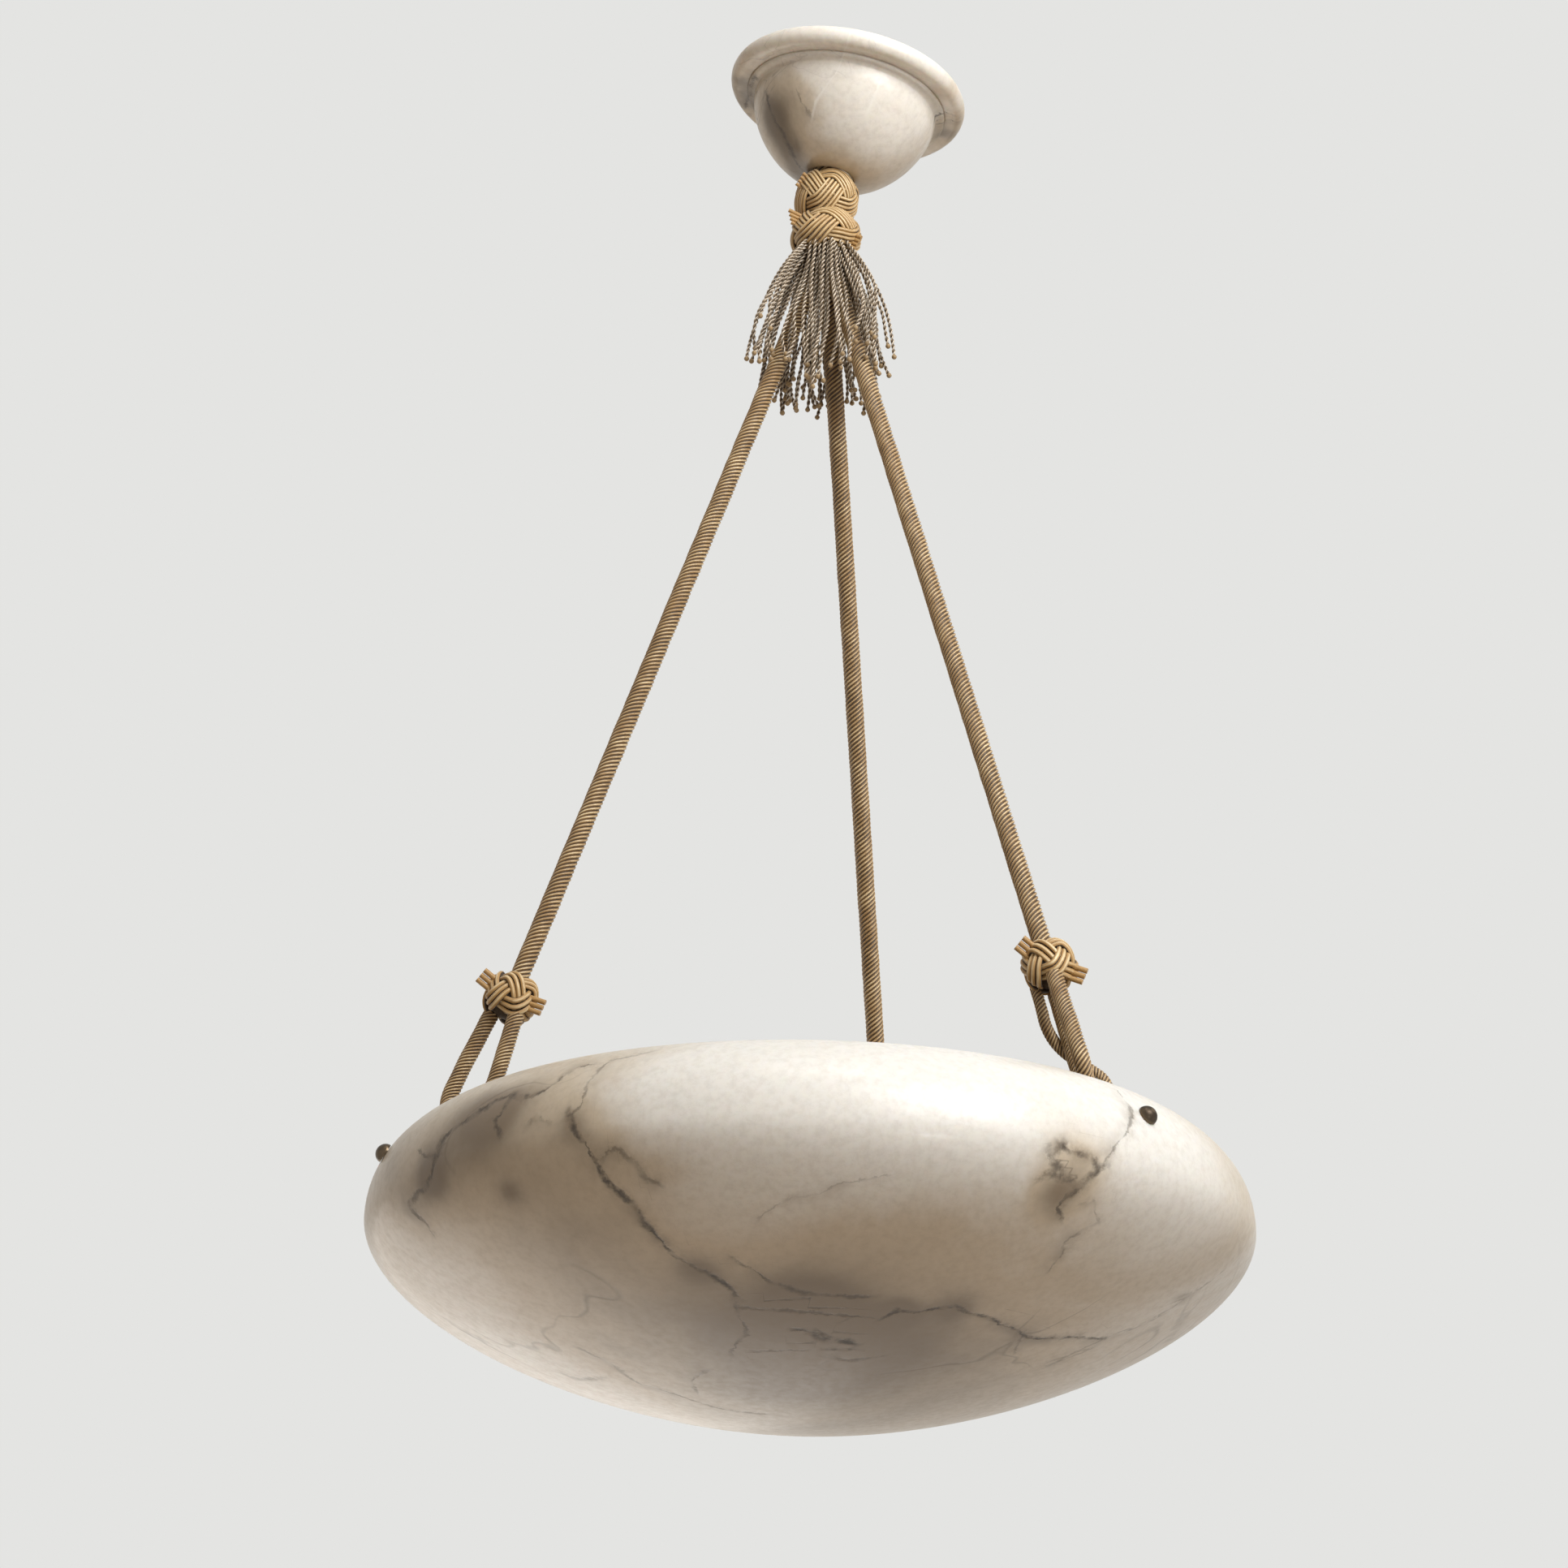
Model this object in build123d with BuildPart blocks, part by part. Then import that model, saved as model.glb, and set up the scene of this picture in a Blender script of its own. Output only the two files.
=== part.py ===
"""Alabaster bowl pendant: a stone bowl on three knotted ropes under a stone ceiling cup.

Millimetres, +Z up. The origin is the middle of the ceiling plate's top face, so the
whole lamp lies below z = 0. Seen from -Y the lamp stands as it hangs in its picture.
What repeats three times is drawn once in the XZ plane and turned to each rope.
"""
import os
from math import asin, atan2, cos, pi, radians, sin, sqrt, tan

from build123d import *

# ---------------------------------------------------------------- driving sizes

# Bowl: its heights count from its widest plane.
bowl_radius = 225.0
bowl_depth = 95.0
bowl_drop = 694.0            # ceiling to the widest plane
bowl_wall = 11.0
lip_thickness = 8.0
lip_inset = 30.0             # outer edge of the lip, in from the widest plane's edge
lip_rise = 44.6
lip_slope = 25.0             # the shoulder's slope where it reaches the lip
bowl_fullness = 0.44         # pull of the curve's handles, 0.55 is a ball
shoulder_pull = 24.0         # handle lengths of the shoulder's curve
shoulder_reach = 16.2

# Ropes
rope_turns = {"back": 76.6, "left": 196.6, "right": 316.6}
apex_drop = 128.6            # ceiling to the point where the rope lines meet
rope_diameter = 10.0
loop_diameter = 8.5
loop_bend = 13.0             # radius of the loop's bend round its eye
loop_seat = 36.7             # bend's lowest point above the eye bolt's corner
loop_turn = -50.0            # turn of the loop's plane about its rope
loop_gap = 8.3               # half the legs' distance where they enter the knot
knot_rise = 106.7            # knot's middle above the eye bolt's corner
knot_diameter = 29.5
leg_socket = 5.0
rope_socket_depth = 5.0

# Eye bolts
bolt_place = 0.42            # place of the bolt along the shoulder's curve
bolt_reach = 27.7            # outside of the stone to the bolt's corner
rod_diameter = 3.6
rod_bend = 6.0
eye_bore = 13.5
eye_turn = -20.0
bolt_wall = 9.0              # stone left under the spot face
spot_diameter = 15.0
washer_diameter = 13.0
washer_thickness = 2.5
nut_flats = 7.0
nut_thickness = 3.2
cap_diameter = 10.0
cap_height = 4.9

# Knots and tassel at the head
head_diameter = 37.6
head_drop = 97.5             # ceiling to the middle of the upper knot
skirt_top_radius = 15.0
skirt_radius = 21.0
skirt_swell = 6.0
skirt_top = 106.0            # ceiling to the top and bottom of the lower knot
skirt_bottom = 132.0
collar_radius = 16.0
collar_height = 14.0
strand_count = 27
strand_width = 3.4
strand_reach = 50.0          # reach and drop of the strands that lie on a rope
strand_drop = 62.0
strand_close = 28.0          # and of those that hang between two ropes
strand_long = 104.0

# Stem and socket above the knots
stem_diameter = 16.0
socket_diameter = 21.0
socket_wall_top = 4.0
socket_drop = 43.0           # ceiling to the socket's shoulder
socket_height = 20.0
stem_grip = 15.0
pin_diameter = 3.0
lug_width = 10.0
lug_thickness = 4.0

# Hanging ring, hook and ceiling plate
ring_wire = 3.0
ring_radius = 8.0
hook_wire = 4.0
hook_radius = 6.0            # of the hook's wire, at its middle
hook_opening = 80.0          # degrees left open for the ring
hook_seat = 21.0             # ceiling to the hook's inner lowest point
plate_radius = 25.0
plate_thickness = 3.0
plate_screw_spacing = 36.0
plate_screw_bore = 4.5
collar_nut_radius = 5.0
collar_nut_height = 3.0

# Terminal block on the plate
block_length = 18.0
block_width = 9.0
block_height = 11.0
block_offset = 16.0
wire_bore = 3.2
terminal_screw = 3.0

# Stone ceiling cup, from its rim down
cup_rim_radius = 67.0
cup_rim_height = 11.5
cup_bead = 2.0
cup_radius = 52.0
cup_height = 59.2
cup_fullness = 0.47
cup_wall = 9.0
cup_bore = 25.0
cup_lean = 9.3               # how far the cup leans on its knot

# Lamps inside the bowl, heights below the widest plane
hub_flats = 52.0
hub_drop = 20.0
hub_height = 26.0
arm_width = 12.0
arm_thickness = 2.0
arm_tab = 6.5
arm_reach = 24.6             # tab's lower end to the knee, along the bolt's line
arm_foot_radius = 60.0
arm_end_radius = 12.0
arm_corner_bend = 2.5
arm_bend = 12.0
arm_screw_radius = 19.0
arm_screw_diameter = 3.0
holder_diameter = 27.0
holder_length = 36.0
holder_bore = 15.0
holder_depth = 24.0
bulb_cap_diameter = 13.6
bulb_cap_length = 19.0
bulb_globe = 45.0
bulb_length = 78.0
flex_diameter = 6.0
gland_diameter = 12.0
gland_height = 9.0

# The flex's points: first in its knot's own plane, then in the bowl, above the widest plane.
flex_beside_knot = (
    (-6, -9, -6),
    (-6, -9, -17),
    (-11, -9.5, -27),
    (-18, -4, -37),
    (-21, 5, -48),
    (-18, 13, -60),
)
flex_in_bowl = (
    (147, -108, 34),
    (140, -102, 14),
    (120, -88, 0),
    (93, -68.5, 1),
    (66, -48.5, 10),
    (43.1, -31.8, 18),
    (24.4, -18, 24.2),
    (9.3, -6.8, 17.4),
    (0, 0, 1),
    (0, 0, -29),
)

# Clearances
running = 0.3
fit = 0.2
thread = 0.1

os.makedirs("parts", exist_ok=True)


def save(name, part):
    part.label = name
    export_step(part, f"parts/{name}.step")
    print(f"{name}: {part.volume:.0f} mm3")


def turned(part, angle):
    return part.rotate(Axis.Z, angle)


# ---------------------------------------------------------------- shared geometry

bowl_z = -bowl_drop
lip_radius = bowl_radius - lip_inset
apex = Vector(0, 0, -apex_drop)
lip_out = Vector(lip_radius, 0, bowl_z + lip_rise)
lip_run = Vector(-cos(radians(lip_slope)), 0, sin(radians(lip_slope)))
lip_in = lip_out - lip_thickness * Vector(sin(radians(lip_slope)), 0, cos(radians(lip_slope)))
lip_crown = (lip_out + lip_in) / 2 + lip_run * lip_thickness / 2


def flat(point):
    """A point of the XZ plane in that plane's own two coordinates."""
    return (point.X, point.Z)


with BuildLine(Plane.XZ) as shoulder:
    Bezier(
        (bowl_radius, bowl_z),
        (bowl_radius, bowl_z + shoulder_pull),
        flat(lip_out - lip_run * shoulder_reach),
        flat(lip_out),
    )

bolt_out = shoulder.line @ bolt_place
along = shoulder.line % bolt_place
bolt_axis = Vector(along.Z, 0, -along.X)          # outwards, square to the stone
foot = bolt_out - bolt_axis * bolt_reach          # corner of the bent eye bolt
rope_up = (apex - foot).normalized()
rope_out = Vector(rope_up.Z, 0, -rope_up.X)       # square to the rope, away from the axis
tangent = Vector(0, 1, 0)


def on_rope(distance):
    return foot + rope_up * distance


def beside_rope(angle):
    """Direction square to the rope, turned about it from the outward one."""
    return rope_out * cos(radians(angle)) + tangent * sin(radians(angle))


def on_bolt(depth):
    """Point on the bolt's axis, so far in from the outside of the stone."""
    return bolt_out - bolt_axis * depth


# ---------------------------------------------------------------- bowl

inner_radius = bowl_radius - bowl_wall
inner_depth = bowl_depth - bowl_wall
inner_pull = shoulder_pull * 0.83
inner_reach = shoulder_reach * 0.8

with BuildPart() as bowl:
    with BuildSketch(Plane.XZ):
        with BuildLine():
            Bezier(
                (0, bowl_z - bowl_depth),
                (bowl_radius * bowl_fullness, bowl_z - bowl_depth),
                (bowl_radius, bowl_z - bowl_depth * bowl_fullness),
                (bowl_radius, bowl_z),
            )
            Bezier(
                (bowl_radius, bowl_z),
                (bowl_radius, bowl_z + shoulder_pull),
                flat(lip_out - lip_run * shoulder_reach),
                flat(lip_out),
            )
            ThreePointArc(flat(lip_out), flat(lip_crown), flat(lip_in))
            Bezier(
                flat(lip_in),
                flat(lip_in - lip_run * inner_reach),
                (inner_radius, bowl_z + inner_pull),
                (inner_radius, bowl_z),
            )
            Bezier(
                (inner_radius, bowl_z),
                (inner_radius, bowl_z - inner_depth * bowl_fullness),
                (inner_radius * bowl_fullness, bowl_z - inner_depth),
                (0, bowl_z - inner_depth),
            )
            Line((0, bowl_z - inner_depth), (0, bowl_z - bowl_depth))
        make_face()
    revolve(axis=Axis.Z)
    for turn in rope_turns.values():
        axis = bolt_axis.rotate(Axis.Z, turn)
        start = on_bolt(-2 * cap_height).rotate(Axis.Z, turn)
        with BuildSketch(Plane(origin=start, z_dir=-axis)):
            Circle(rod_diameter / 2 + 2 * fit)
        extrude(amount=bolt_reach, mode=Mode.SUBTRACT)
        face = on_bolt(bolt_wall).rotate(Axis.Z, turn)
        with BuildSketch(Plane(origin=face, z_dir=-axis)):
            Circle(spot_diameter / 2)
        extrude(amount=spot_diameter, mode=Mode.SUBTRACT)
save("bowl", bowl.part)

# ---------------------------------------------------------------- eye bolts and their nuts

eye_radius = (eye_bore + rod_diameter) / 2
eye_middle = loop_seat + loop_diameter / 2 + fit - eye_bore / 2
eye_plane = Plane(origin=on_rope(eye_middle), z_dir=beside_rope(eye_turn))

with BuildPart() as eye_bolt:
    with BuildLine(Plane.XZ) as rod_line:
        FilletPolyline(
            flat(on_rope(eye_middle - eye_radius)),
            flat(foot),
            flat(on_bolt(-cap_height / 2)),
            radius=rod_bend,
        )
    with BuildSketch(Plane(origin=rod_line.line @ 0, z_dir=rod_line.line % 0)):
        Circle(rod_diameter / 2)
    sweep()
    with Locations(eye_plane):
        Torus(eye_radius, rod_diameter / 2)

with BuildPart() as bolt_washer:
    with BuildSketch(Plane(origin=on_bolt(bolt_wall), z_dir=-bolt_axis)):
        Circle(washer_diameter / 2)
        Circle(rod_diameter / 2 + fit, mode=Mode.SUBTRACT)
    extrude(amount=washer_thickness)

tab_depth = bolt_wall + washer_thickness
nut_depth = tab_depth + arm_thickness

with BuildPart() as back_nut:
    with BuildSketch(Plane(origin=on_bolt(nut_depth), z_dir=-bolt_axis)):
        RegularPolygon(nut_flats / 2, 6, major_radius=False)
        Circle(rod_diameter / 2 + thread, mode=Mode.SUBTRACT)
    extrude(amount=nut_thickness)

# Drawn upright at the origin, then set on the outside of the stone.
dome_rise = cap_height * 0.8
dome_radius = ((cap_diameter / 2) ** 2 + dome_rise**2) / (2 * dome_rise)
standing = (Align.CENTER, Align.CENTER, Align.MIN)

with BuildPart() as upright_cap:
    Cylinder(cap_diameter / 2, cap_height, align=standing)
    with Locations((0, 0, cap_height - dome_radius)):
        Sphere(dome_radius, mode=Mode.INTERSECT)
    Cylinder(rod_diameter / 2 + thread, cap_height / 2 + fit, align=standing, mode=Mode.SUBTRACT)
cap_nut = Plane(origin=bolt_out + bolt_axis * fit / 2, z_dir=bolt_axis).location * upright_cap.part

for name, turn in rope_turns.items():
    save(f"eye_bolt_{name}", turned(eye_bolt.part, turn))
groups = {"bolt_washers": bolt_washer.part, "back_nuts": back_nut.part, "cap_nuts": cap_nut}
for name, piece in groups.items():
    save(name, Compound([turned(piece, turn) for turn in rope_turns.values()]))

# ---------------------------------------------------------------- rope loops

loop_low = on_rope(loop_seat)
loop_side = beside_rope(loop_turn)
loop_plane = Plane(origin=loop_low, x_dir=loop_side, z_dir=loop_side.cross(rope_up))
knot_low = knot_rise - loop_seat - knot_diameter / 2     # knot's underside above the bend
leg_top = knot_low + leg_socket
# The legs are tangents from their place in the knot to the bend's circle.
leg_far = sqrt(loop_gap**2 + (leg_top - loop_bend) ** 2)
leg_lean = asin(loop_bend / leg_far) - atan2(loop_gap, leg_top - loop_bend)
leg_touch = (loop_bend * cos(leg_lean), loop_bend * (1 + sin(leg_lean)))


def loop_path():
    with BuildLine(loop_plane) as path:
        Line((-loop_gap, leg_top), (-leg_touch[0], leg_touch[1]))
        ThreePointArc((-leg_touch[0], leg_touch[1]), (0, 0), leg_touch)
        Line(leg_touch, (loop_gap, leg_top))
    return path.line


def loop_solid(radius):
    path = loop_path()
    with BuildPart() as solid:
        with BuildSketch(Plane(origin=path @ 0, z_dir=path % 0)):
            Circle(radius)
        sweep(path=path)
    return solid.part


loop = loop_solid(loop_diameter / 2)
for name, turn in rope_turns.items():
    save(f"rope_loop_{name}", turned(loop, turn))

# ---------------------------------------------------------------- loop knots and ropes

knot_plane = Plane(origin=on_rope(knot_rise), x_dir=loop_side, z_dir=rope_up)
rope_foot = knot_rise + knot_diameter / 2 - rope_socket_depth
rope_top_z = -skirt_bottom - collar_height

with BuildPart() as loop_knot:
    with Locations(knot_plane):
        Sphere(knot_diameter / 2)
    with BuildSketch(knot_plane.offset(rope_foot - knot_rise)):
        Circle(rope_diameter / 2 + fit)
    extrude(amount=knot_diameter, mode=Mode.SUBTRACT)
    add(loop_solid(loop_diameter / 2 + fit), mode=Mode.SUBTRACT)

# The right knot also takes the end of the lamp's flex.
with BuildPart() as flex_knot:
    add(loop_knot.part)
    with BuildSketch(knot_plane.offset(flex_beside_knot[0][2] + fit)):
        with Locations(flex_beside_knot[0][:2]):
            Circle(flex_diameter / 2 + 2 * fit)
    extrude(amount=-knot_diameter, mode=Mode.SUBTRACT)

with BuildPart() as rope:
    with BuildSketch(Plane(origin=on_rope(rope_foot), z_dir=rope_up)):
        Circle(rope_diameter / 2)
    extrude(amount=bowl_drop)
    split(bisect_by=Plane.XY.offset(rope_top_z), keep=Keep.BOTTOM)

for name, turn in rope_turns.items():
    knot = flex_knot if name == "right" else loop_knot
    save(f"loop_knot_{name}", turned(knot.part, turn))
    save(f"rope_{name}", turned(rope.part, turn))

# ---------------------------------------------------------------- head knots and tassel

head_radius = head_diameter / 2
stem_radius = stem_diameter / 2

with BuildPart() as head_knot:
    with Locations((0, 0, -head_drop)):
        Sphere(head_radius)
    with BuildSketch(Plane.XY.offset(-head_drop)):
        Circle(stem_radius + fit)
    extrude(amount=head_radius, mode=Mode.SUBTRACT)
save("head_knot", head_knot.part)

with BuildPart() as skirt_knot:
    with BuildSketch(Plane.XZ):
        with BuildLine():
            Polyline((0, -skirt_top), (skirt_top_radius, -skirt_top))
            Bezier(
                (skirt_top_radius, -skirt_top),
                (skirt_radius, -skirt_top - skirt_swell),
                (skirt_radius + 2, -skirt_bottom + skirt_swell),
                (collar_radius + 2, -skirt_bottom),
            )
            Polyline((collar_radius + 2, -skirt_bottom), (0, -skirt_bottom), (0, -skirt_top))
        make_face()
    revolve(axis=Axis.Z)
    with Locations((0, 0, -head_drop)):
        Sphere(head_radius + fit / 2, mode=Mode.SUBTRACT)
save("skirt_knot", skirt_knot.part)


def strand(turn, lie):
    """One tassel strand. lie is 1 over a rope and 0 half way between two ropes."""
    reach = strand_close + (strand_reach - strand_close) * lie
    drop = strand_long + (strand_drop - strand_long) * lie
    start = (collar_radius - strand_width / 2, -skirt_bottom - strand_width / 2)
    end = (reach, -skirt_bottom - drop)
    middle = (start[0] + (end[0] - start[0]) * 0.68, start[1] + (end[1] - start[1]) * 0.36)
    with BuildPart() as one:
        with BuildLine(Plane.XZ) as path:
            ThreePointArc(start, middle, end)
        with BuildSketch(Plane(origin=path.line @ 0, x_dir=(0, 1, 0), z_dir=path.line % 0)):
            RegularPolygon(strand_width / 2, 5)
        sweep()
    return turned(one.part, turn)


first_rope = rope_turns["back"]
strands = []
for index in range(strand_count):
    turn = first_rope + 360 / strand_count * index
    lie = (1 + cos(radians(3 * (turn - first_rope)))) / 2
    strands.append(strand(turn, lie))

with BuildPart() as tassel:
    with BuildSketch(Plane.XY.offset(-skirt_bottom)):
        Circle(collar_radius)
    extrude(amount=-collar_height)
    add(strands)
save("tassel", tassel.part)

# ---------------------------------------------------------------- stem, socket and pin

socket_radius = socket_diameter / 2
socket_low = -socket_drop - socket_height
stem_top = socket_low + stem_grip
pin_z = socket_low + stem_grip / 2
ring_z = -hook_seat + ring_wire / 2 + running - ring_radius
ring_low = ring_z - ring_radius
lug_bore = ring_wire / 2 + 4 * running
lug_z = ring_low + ring_wire / 2 + 2 * running - lug_bore

with BuildPart() as rope_stem:
    with BuildSketch(Plane.XY.offset(-head_drop)):
        Circle(stem_radius)
    extrude(amount=stem_top + head_drop)
    with Locations(Plane(origin=(0, 0, pin_z), z_dir=(1, 0, 0))):
        Cylinder(pin_diameter / 2 + fit, socket_diameter * 2, mode=Mode.SUBTRACT)
save("rope_stem", rope_stem.part)

with BuildPart() as rope_socket:
    with BuildSketch(Plane.XY.offset(socket_low)):
        Circle(socket_radius)
    extrude(amount=socket_height)
    fillet(rope_socket.edges().group_by(Axis.Z)[-1], radius=socket_wall_top / 2)
    with BuildSketch(Plane.XZ):
        with Locations((0, lug_z)):
            Circle(lug_width / 2)
        with Locations((0, (lug_z - socket_drop) / 2)):
            Rectangle(lug_width, lug_z + socket_drop)
    extrude(amount=lug_thickness / 2, both=True)
    with Locations(Plane(origin=(0, 0, lug_z), z_dir=(0, 1, 0))):
        Cylinder(lug_bore, lug_thickness * 2, mode=Mode.SUBTRACT)
    with BuildSketch(Plane.XY.offset(socket_low)):
        Circle(stem_radius + fit)
    extrude(amount=stem_grip + fit, mode=Mode.SUBTRACT)
    with Locations(Plane(origin=(0, 0, pin_z), z_dir=(1, 0, 0))):
        Cylinder(pin_diameter / 2 + thread, socket_diameter * 2, mode=Mode.SUBTRACT)
save("rope_socket", rope_socket.part)

with BuildPart() as socket_pin:
    with Locations(Plane(origin=(0, 0, pin_z), z_dir=(1, 0, 0))):
        Cylinder(pin_diameter / 2, socket_diameter)
    chamfer(socket_pin.edges(), length=0.3)
save("socket_pin", socket_pin.part)

# ---------------------------------------------------------------- ring, hook and ceiling plate

with BuildPart() as hanging_ring:
    with Locations(Plane(origin=(0, 0, ring_z), z_dir=(1, 0, 0))):
        Torus(ring_radius, ring_wire / 2)
save("hanging_ring", hanging_ring.part)

hook_middle = -hook_seat - hook_wire / 2 + hook_radius

with BuildPart() as ceiling_hook:
    with BuildLine(Plane.XZ) as hook_path:
        CenterArc((0, hook_middle), hook_radius, 90, hook_opening - 360)
    with BuildSketch(Plane(origin=hook_path.line @ 0, z_dir=hook_path.line % 0)):
        Circle(hook_wire / 2)
    sweep()
    with BuildSketch(Plane.XY):
        Circle(hook_wire / 2)
    extrude(amount=hook_middle + hook_radius)
    with Locations((0, 0, hook_middle + hook_radius)):
        Sphere(hook_wire / 2)
    with BuildSketch(Plane.XY.offset(-plate_thickness)):
        Circle(collar_nut_radius)
    extrude(amount=-collar_nut_height)
save("ceiling_hook", ceiling_hook.part)

with BuildPart() as ceiling_plate:
    with BuildSketch():
        Circle(plate_radius)
        with GridLocations(plate_screw_spacing, 0, 2, 1):
            Circle(plate_screw_bore / 2, mode=Mode.SUBTRACT)
        Circle(hook_wire / 2 + thread, mode=Mode.SUBTRACT)
    extrude(amount=-plate_thickness)
    chamfer(ceiling_plate.edges().group_by(Axis.Z)[0].sort_by(SortBy.LENGTH)[-1], length=0.8)
save("ceiling_plate", ceiling_plate.part)

# ---------------------------------------------------------------- terminal block

block_plane = Plane(origin=(0, block_offset, -plate_thickness))
block_pitch = block_length / 2

with BuildPart() as terminal_block:
    with BuildSketch(block_plane):
        RectangleRounded(block_length, block_width, 1.5)
    extrude(amount=-block_height)
    with BuildSketch(block_plane.offset(-block_height)):
        with GridLocations(block_pitch, 0, 2, 1):
            Circle(terminal_screw / 2 + thread)
    extrude(amount=block_height / 2, mode=Mode.SUBTRACT)
    wire_start = block_plane.origin - Vector(0, block_width, block_height / 2)
    with BuildSketch(Plane(origin=wire_start, x_dir=(1, 0, 0), z_dir=(0, 1, 0))):
        with GridLocations(block_pitch, 0, 2, 1):
            Circle(wire_bore / 2)
    extrude(amount=2 * block_width, mode=Mode.SUBTRACT)
save("terminal_block", terminal_block.part)

with BuildPart() as terminal_screws:
    with BuildSketch(block_plane.offset(-block_height)):
        with GridLocations(block_pitch, 0, 2, 1):
            Circle(terminal_screw / 2)
    extrude(amount=terminal_screw)
save("terminal_screws", terminal_screws.part)

# ---------------------------------------------------------------- stone ceiling cup

# Drawn level, then leant about the middle of the knot that it rests on.
bore_radius = cup_bore / 2
cup_low = -head_drop + sqrt(head_radius**2 - bore_radius**2) + running + thread
cup_high = cup_low + cup_height
rim_low = cup_high - cup_rim_height
rim_round = cup_rim_radius - cup_rim_height * 0.44
cup_inner = cup_radius - cup_wall
floor_z = cup_low + cup_wall

with BuildPart() as level_cup:
    with BuildSketch(Plane.XZ):
        with BuildLine():
            Bezier(
                (bore_radius, cup_low),
                (bore_radius + (cup_radius - bore_radius) * cup_fullness, cup_low),
                (cup_radius, rim_low - (rim_low - cup_low) * cup_fullness),
                (cup_radius, rim_low - cup_bead),
            )
            ThreePointArc(
                (cup_radius, rim_low - cup_bead),
                (cup_radius + cup_bead * 1.7, rim_low - cup_bead * 0.7),
                (cup_radius + cup_bead * 2, rim_low),
            )
            Line((cup_radius + cup_bead * 2, rim_low), (rim_round, rim_low))
            ThreePointArc(
                (rim_round, rim_low), (cup_rim_radius, (rim_low + cup_high) / 2), (rim_round, cup_high)
            )
            Polyline((rim_round, cup_high), (cup_inner, cup_high), (cup_inner, rim_low))
            Bezier(
                (cup_inner, rim_low),
                (cup_inner, rim_low - (rim_low - floor_z) * cup_fullness),
                (bore_radius + (cup_inner - bore_radius) * cup_fullness, floor_z),
                (bore_radius, floor_z),
            )
            Line((bore_radius, floor_z), (bore_radius, cup_low))
        make_face()
    revolve(axis=Axis.Z)
ceiling_cup = level_cup.part.rotate(Axis((0, 0, -head_drop), (0, 1, 0)), cup_lean)
save("ceiling_cup", ceiling_cup)

# ---------------------------------------------------------------- lamps inside the bowl

hub_top = bowl_z - hub_drop
holder_z = hub_top - hub_height / 2
between = 60                                      # the lamps point between the arms
spigot_radius = holder_bore / 3
spigot_length = holder_depth / 4
gland_bore = flex_diameter / 2 + thread
gland_seat = gland_height / 2

with BuildPart() as lamp_hub:
    with BuildSketch(Plane.XY.offset(hub_top)):
        RegularPolygon(hub_flats / 2, 6, major_radius=False, rotation=first_rope + between / 2)
    extrude(amount=-hub_height)
    with BuildSketch(Plane.XY.offset(hub_top)):
        Circle(gland_diameter / 2 - 2 + thread)
    extrude(amount=-gland_seat, mode=Mode.SUBTRACT)
    with BuildSketch(Plane.XY.offset(hub_top)):
        with PolarLocations(arm_screw_radius, 3, start_angle=first_rope):
            Circle(arm_screw_diameter / 2 + thread)
        Circle(gland_bore)
    extrude(amount=-hub_height * 0.4, mode=Mode.SUBTRACT)
    for turn in rope_turns.values():
        out = Vector(1, 0, 0).rotate(Axis.Z, turn + between)
        with BuildSketch(Plane(origin=out * hub_flats / 2 + Vector(0, 0, holder_z), z_dir=out)):
            Circle(spigot_radius + thread)
        extrude(amount=-spigot_length - 2 * fit, mode=Mode.SUBTRACT)
save("lamp_hub", lamp_hub.part)

tab_middle = on_bolt(tab_depth + arm_thickness / 2)
tab_up = Vector(-bolt_axis.Z, 0, bolt_axis.X)
strip_z = hub_top + arm_thickness / 2

with BuildPart() as lamp_arm:
    with BuildLine(Plane.XZ) as strip_line:
        FilletPolyline(
            flat(tab_middle + tab_up * arm_tab),
            flat(tab_middle - tab_up * arm_tab),
            flat(tab_middle - tab_up * arm_tab - bolt_axis * arm_reach),
            (arm_foot_radius, strip_z),
            (arm_end_radius, strip_z),
            radius=(arm_corner_bend, arm_bend, arm_bend),
        )
    with BuildSketch(Plane(origin=strip_line.line @ 0, x_dir=tangent, z_dir=strip_line.line % 0)):
        Rectangle(arm_width, arm_thickness)
    sweep()
    with BuildSketch(Plane(origin=on_bolt(0), z_dir=-bolt_axis)):
        Circle(rod_diameter / 2 + fit)
    extrude(amount=nut_depth + nut_thickness, mode=Mode.SUBTRACT)
    with BuildSketch(Plane.XY.offset(hub_top - arm_thickness)):
        with Locations((arm_screw_radius, 0)):
            Circle(arm_screw_diameter / 2 + fit)
    extrude(amount=3 * arm_thickness, mode=Mode.SUBTRACT)

with BuildPart() as arm_screw:
    with BuildSketch(Plane.XY.offset(hub_top + arm_thickness)):
        with Locations((arm_screw_radius, 0)):
            Circle(arm_screw_diameter / 2)
    extrude(amount=-arm_thickness - arm_screw_diameter * 2.5)
    with BuildSketch(Plane.XY.offset(hub_top + arm_thickness)):
        with Locations((arm_screw_radius, 0)):
            Circle(arm_screw_diameter)
    extrude(amount=arm_screw_diameter * 0.7)

for name, turn in rope_turns.items():
    save(f"lamp_arm_{name}", turned(lamp_arm.part, turn))
save("arm_screws", Compound([turned(arm_screw.part, turn) for turn in rope_turns.values()]))

holder_plane = Plane(origin=(hub_flats / 2, 0, holder_z), z_dir=(1, 0, 0))
bulb_start = holder_length - holder_depth + 1     # bulb's contact above the holder's foot
globe_radius = bulb_globe / 2
globe_middle = bulb_start + bulb_length - globe_radius

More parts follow.
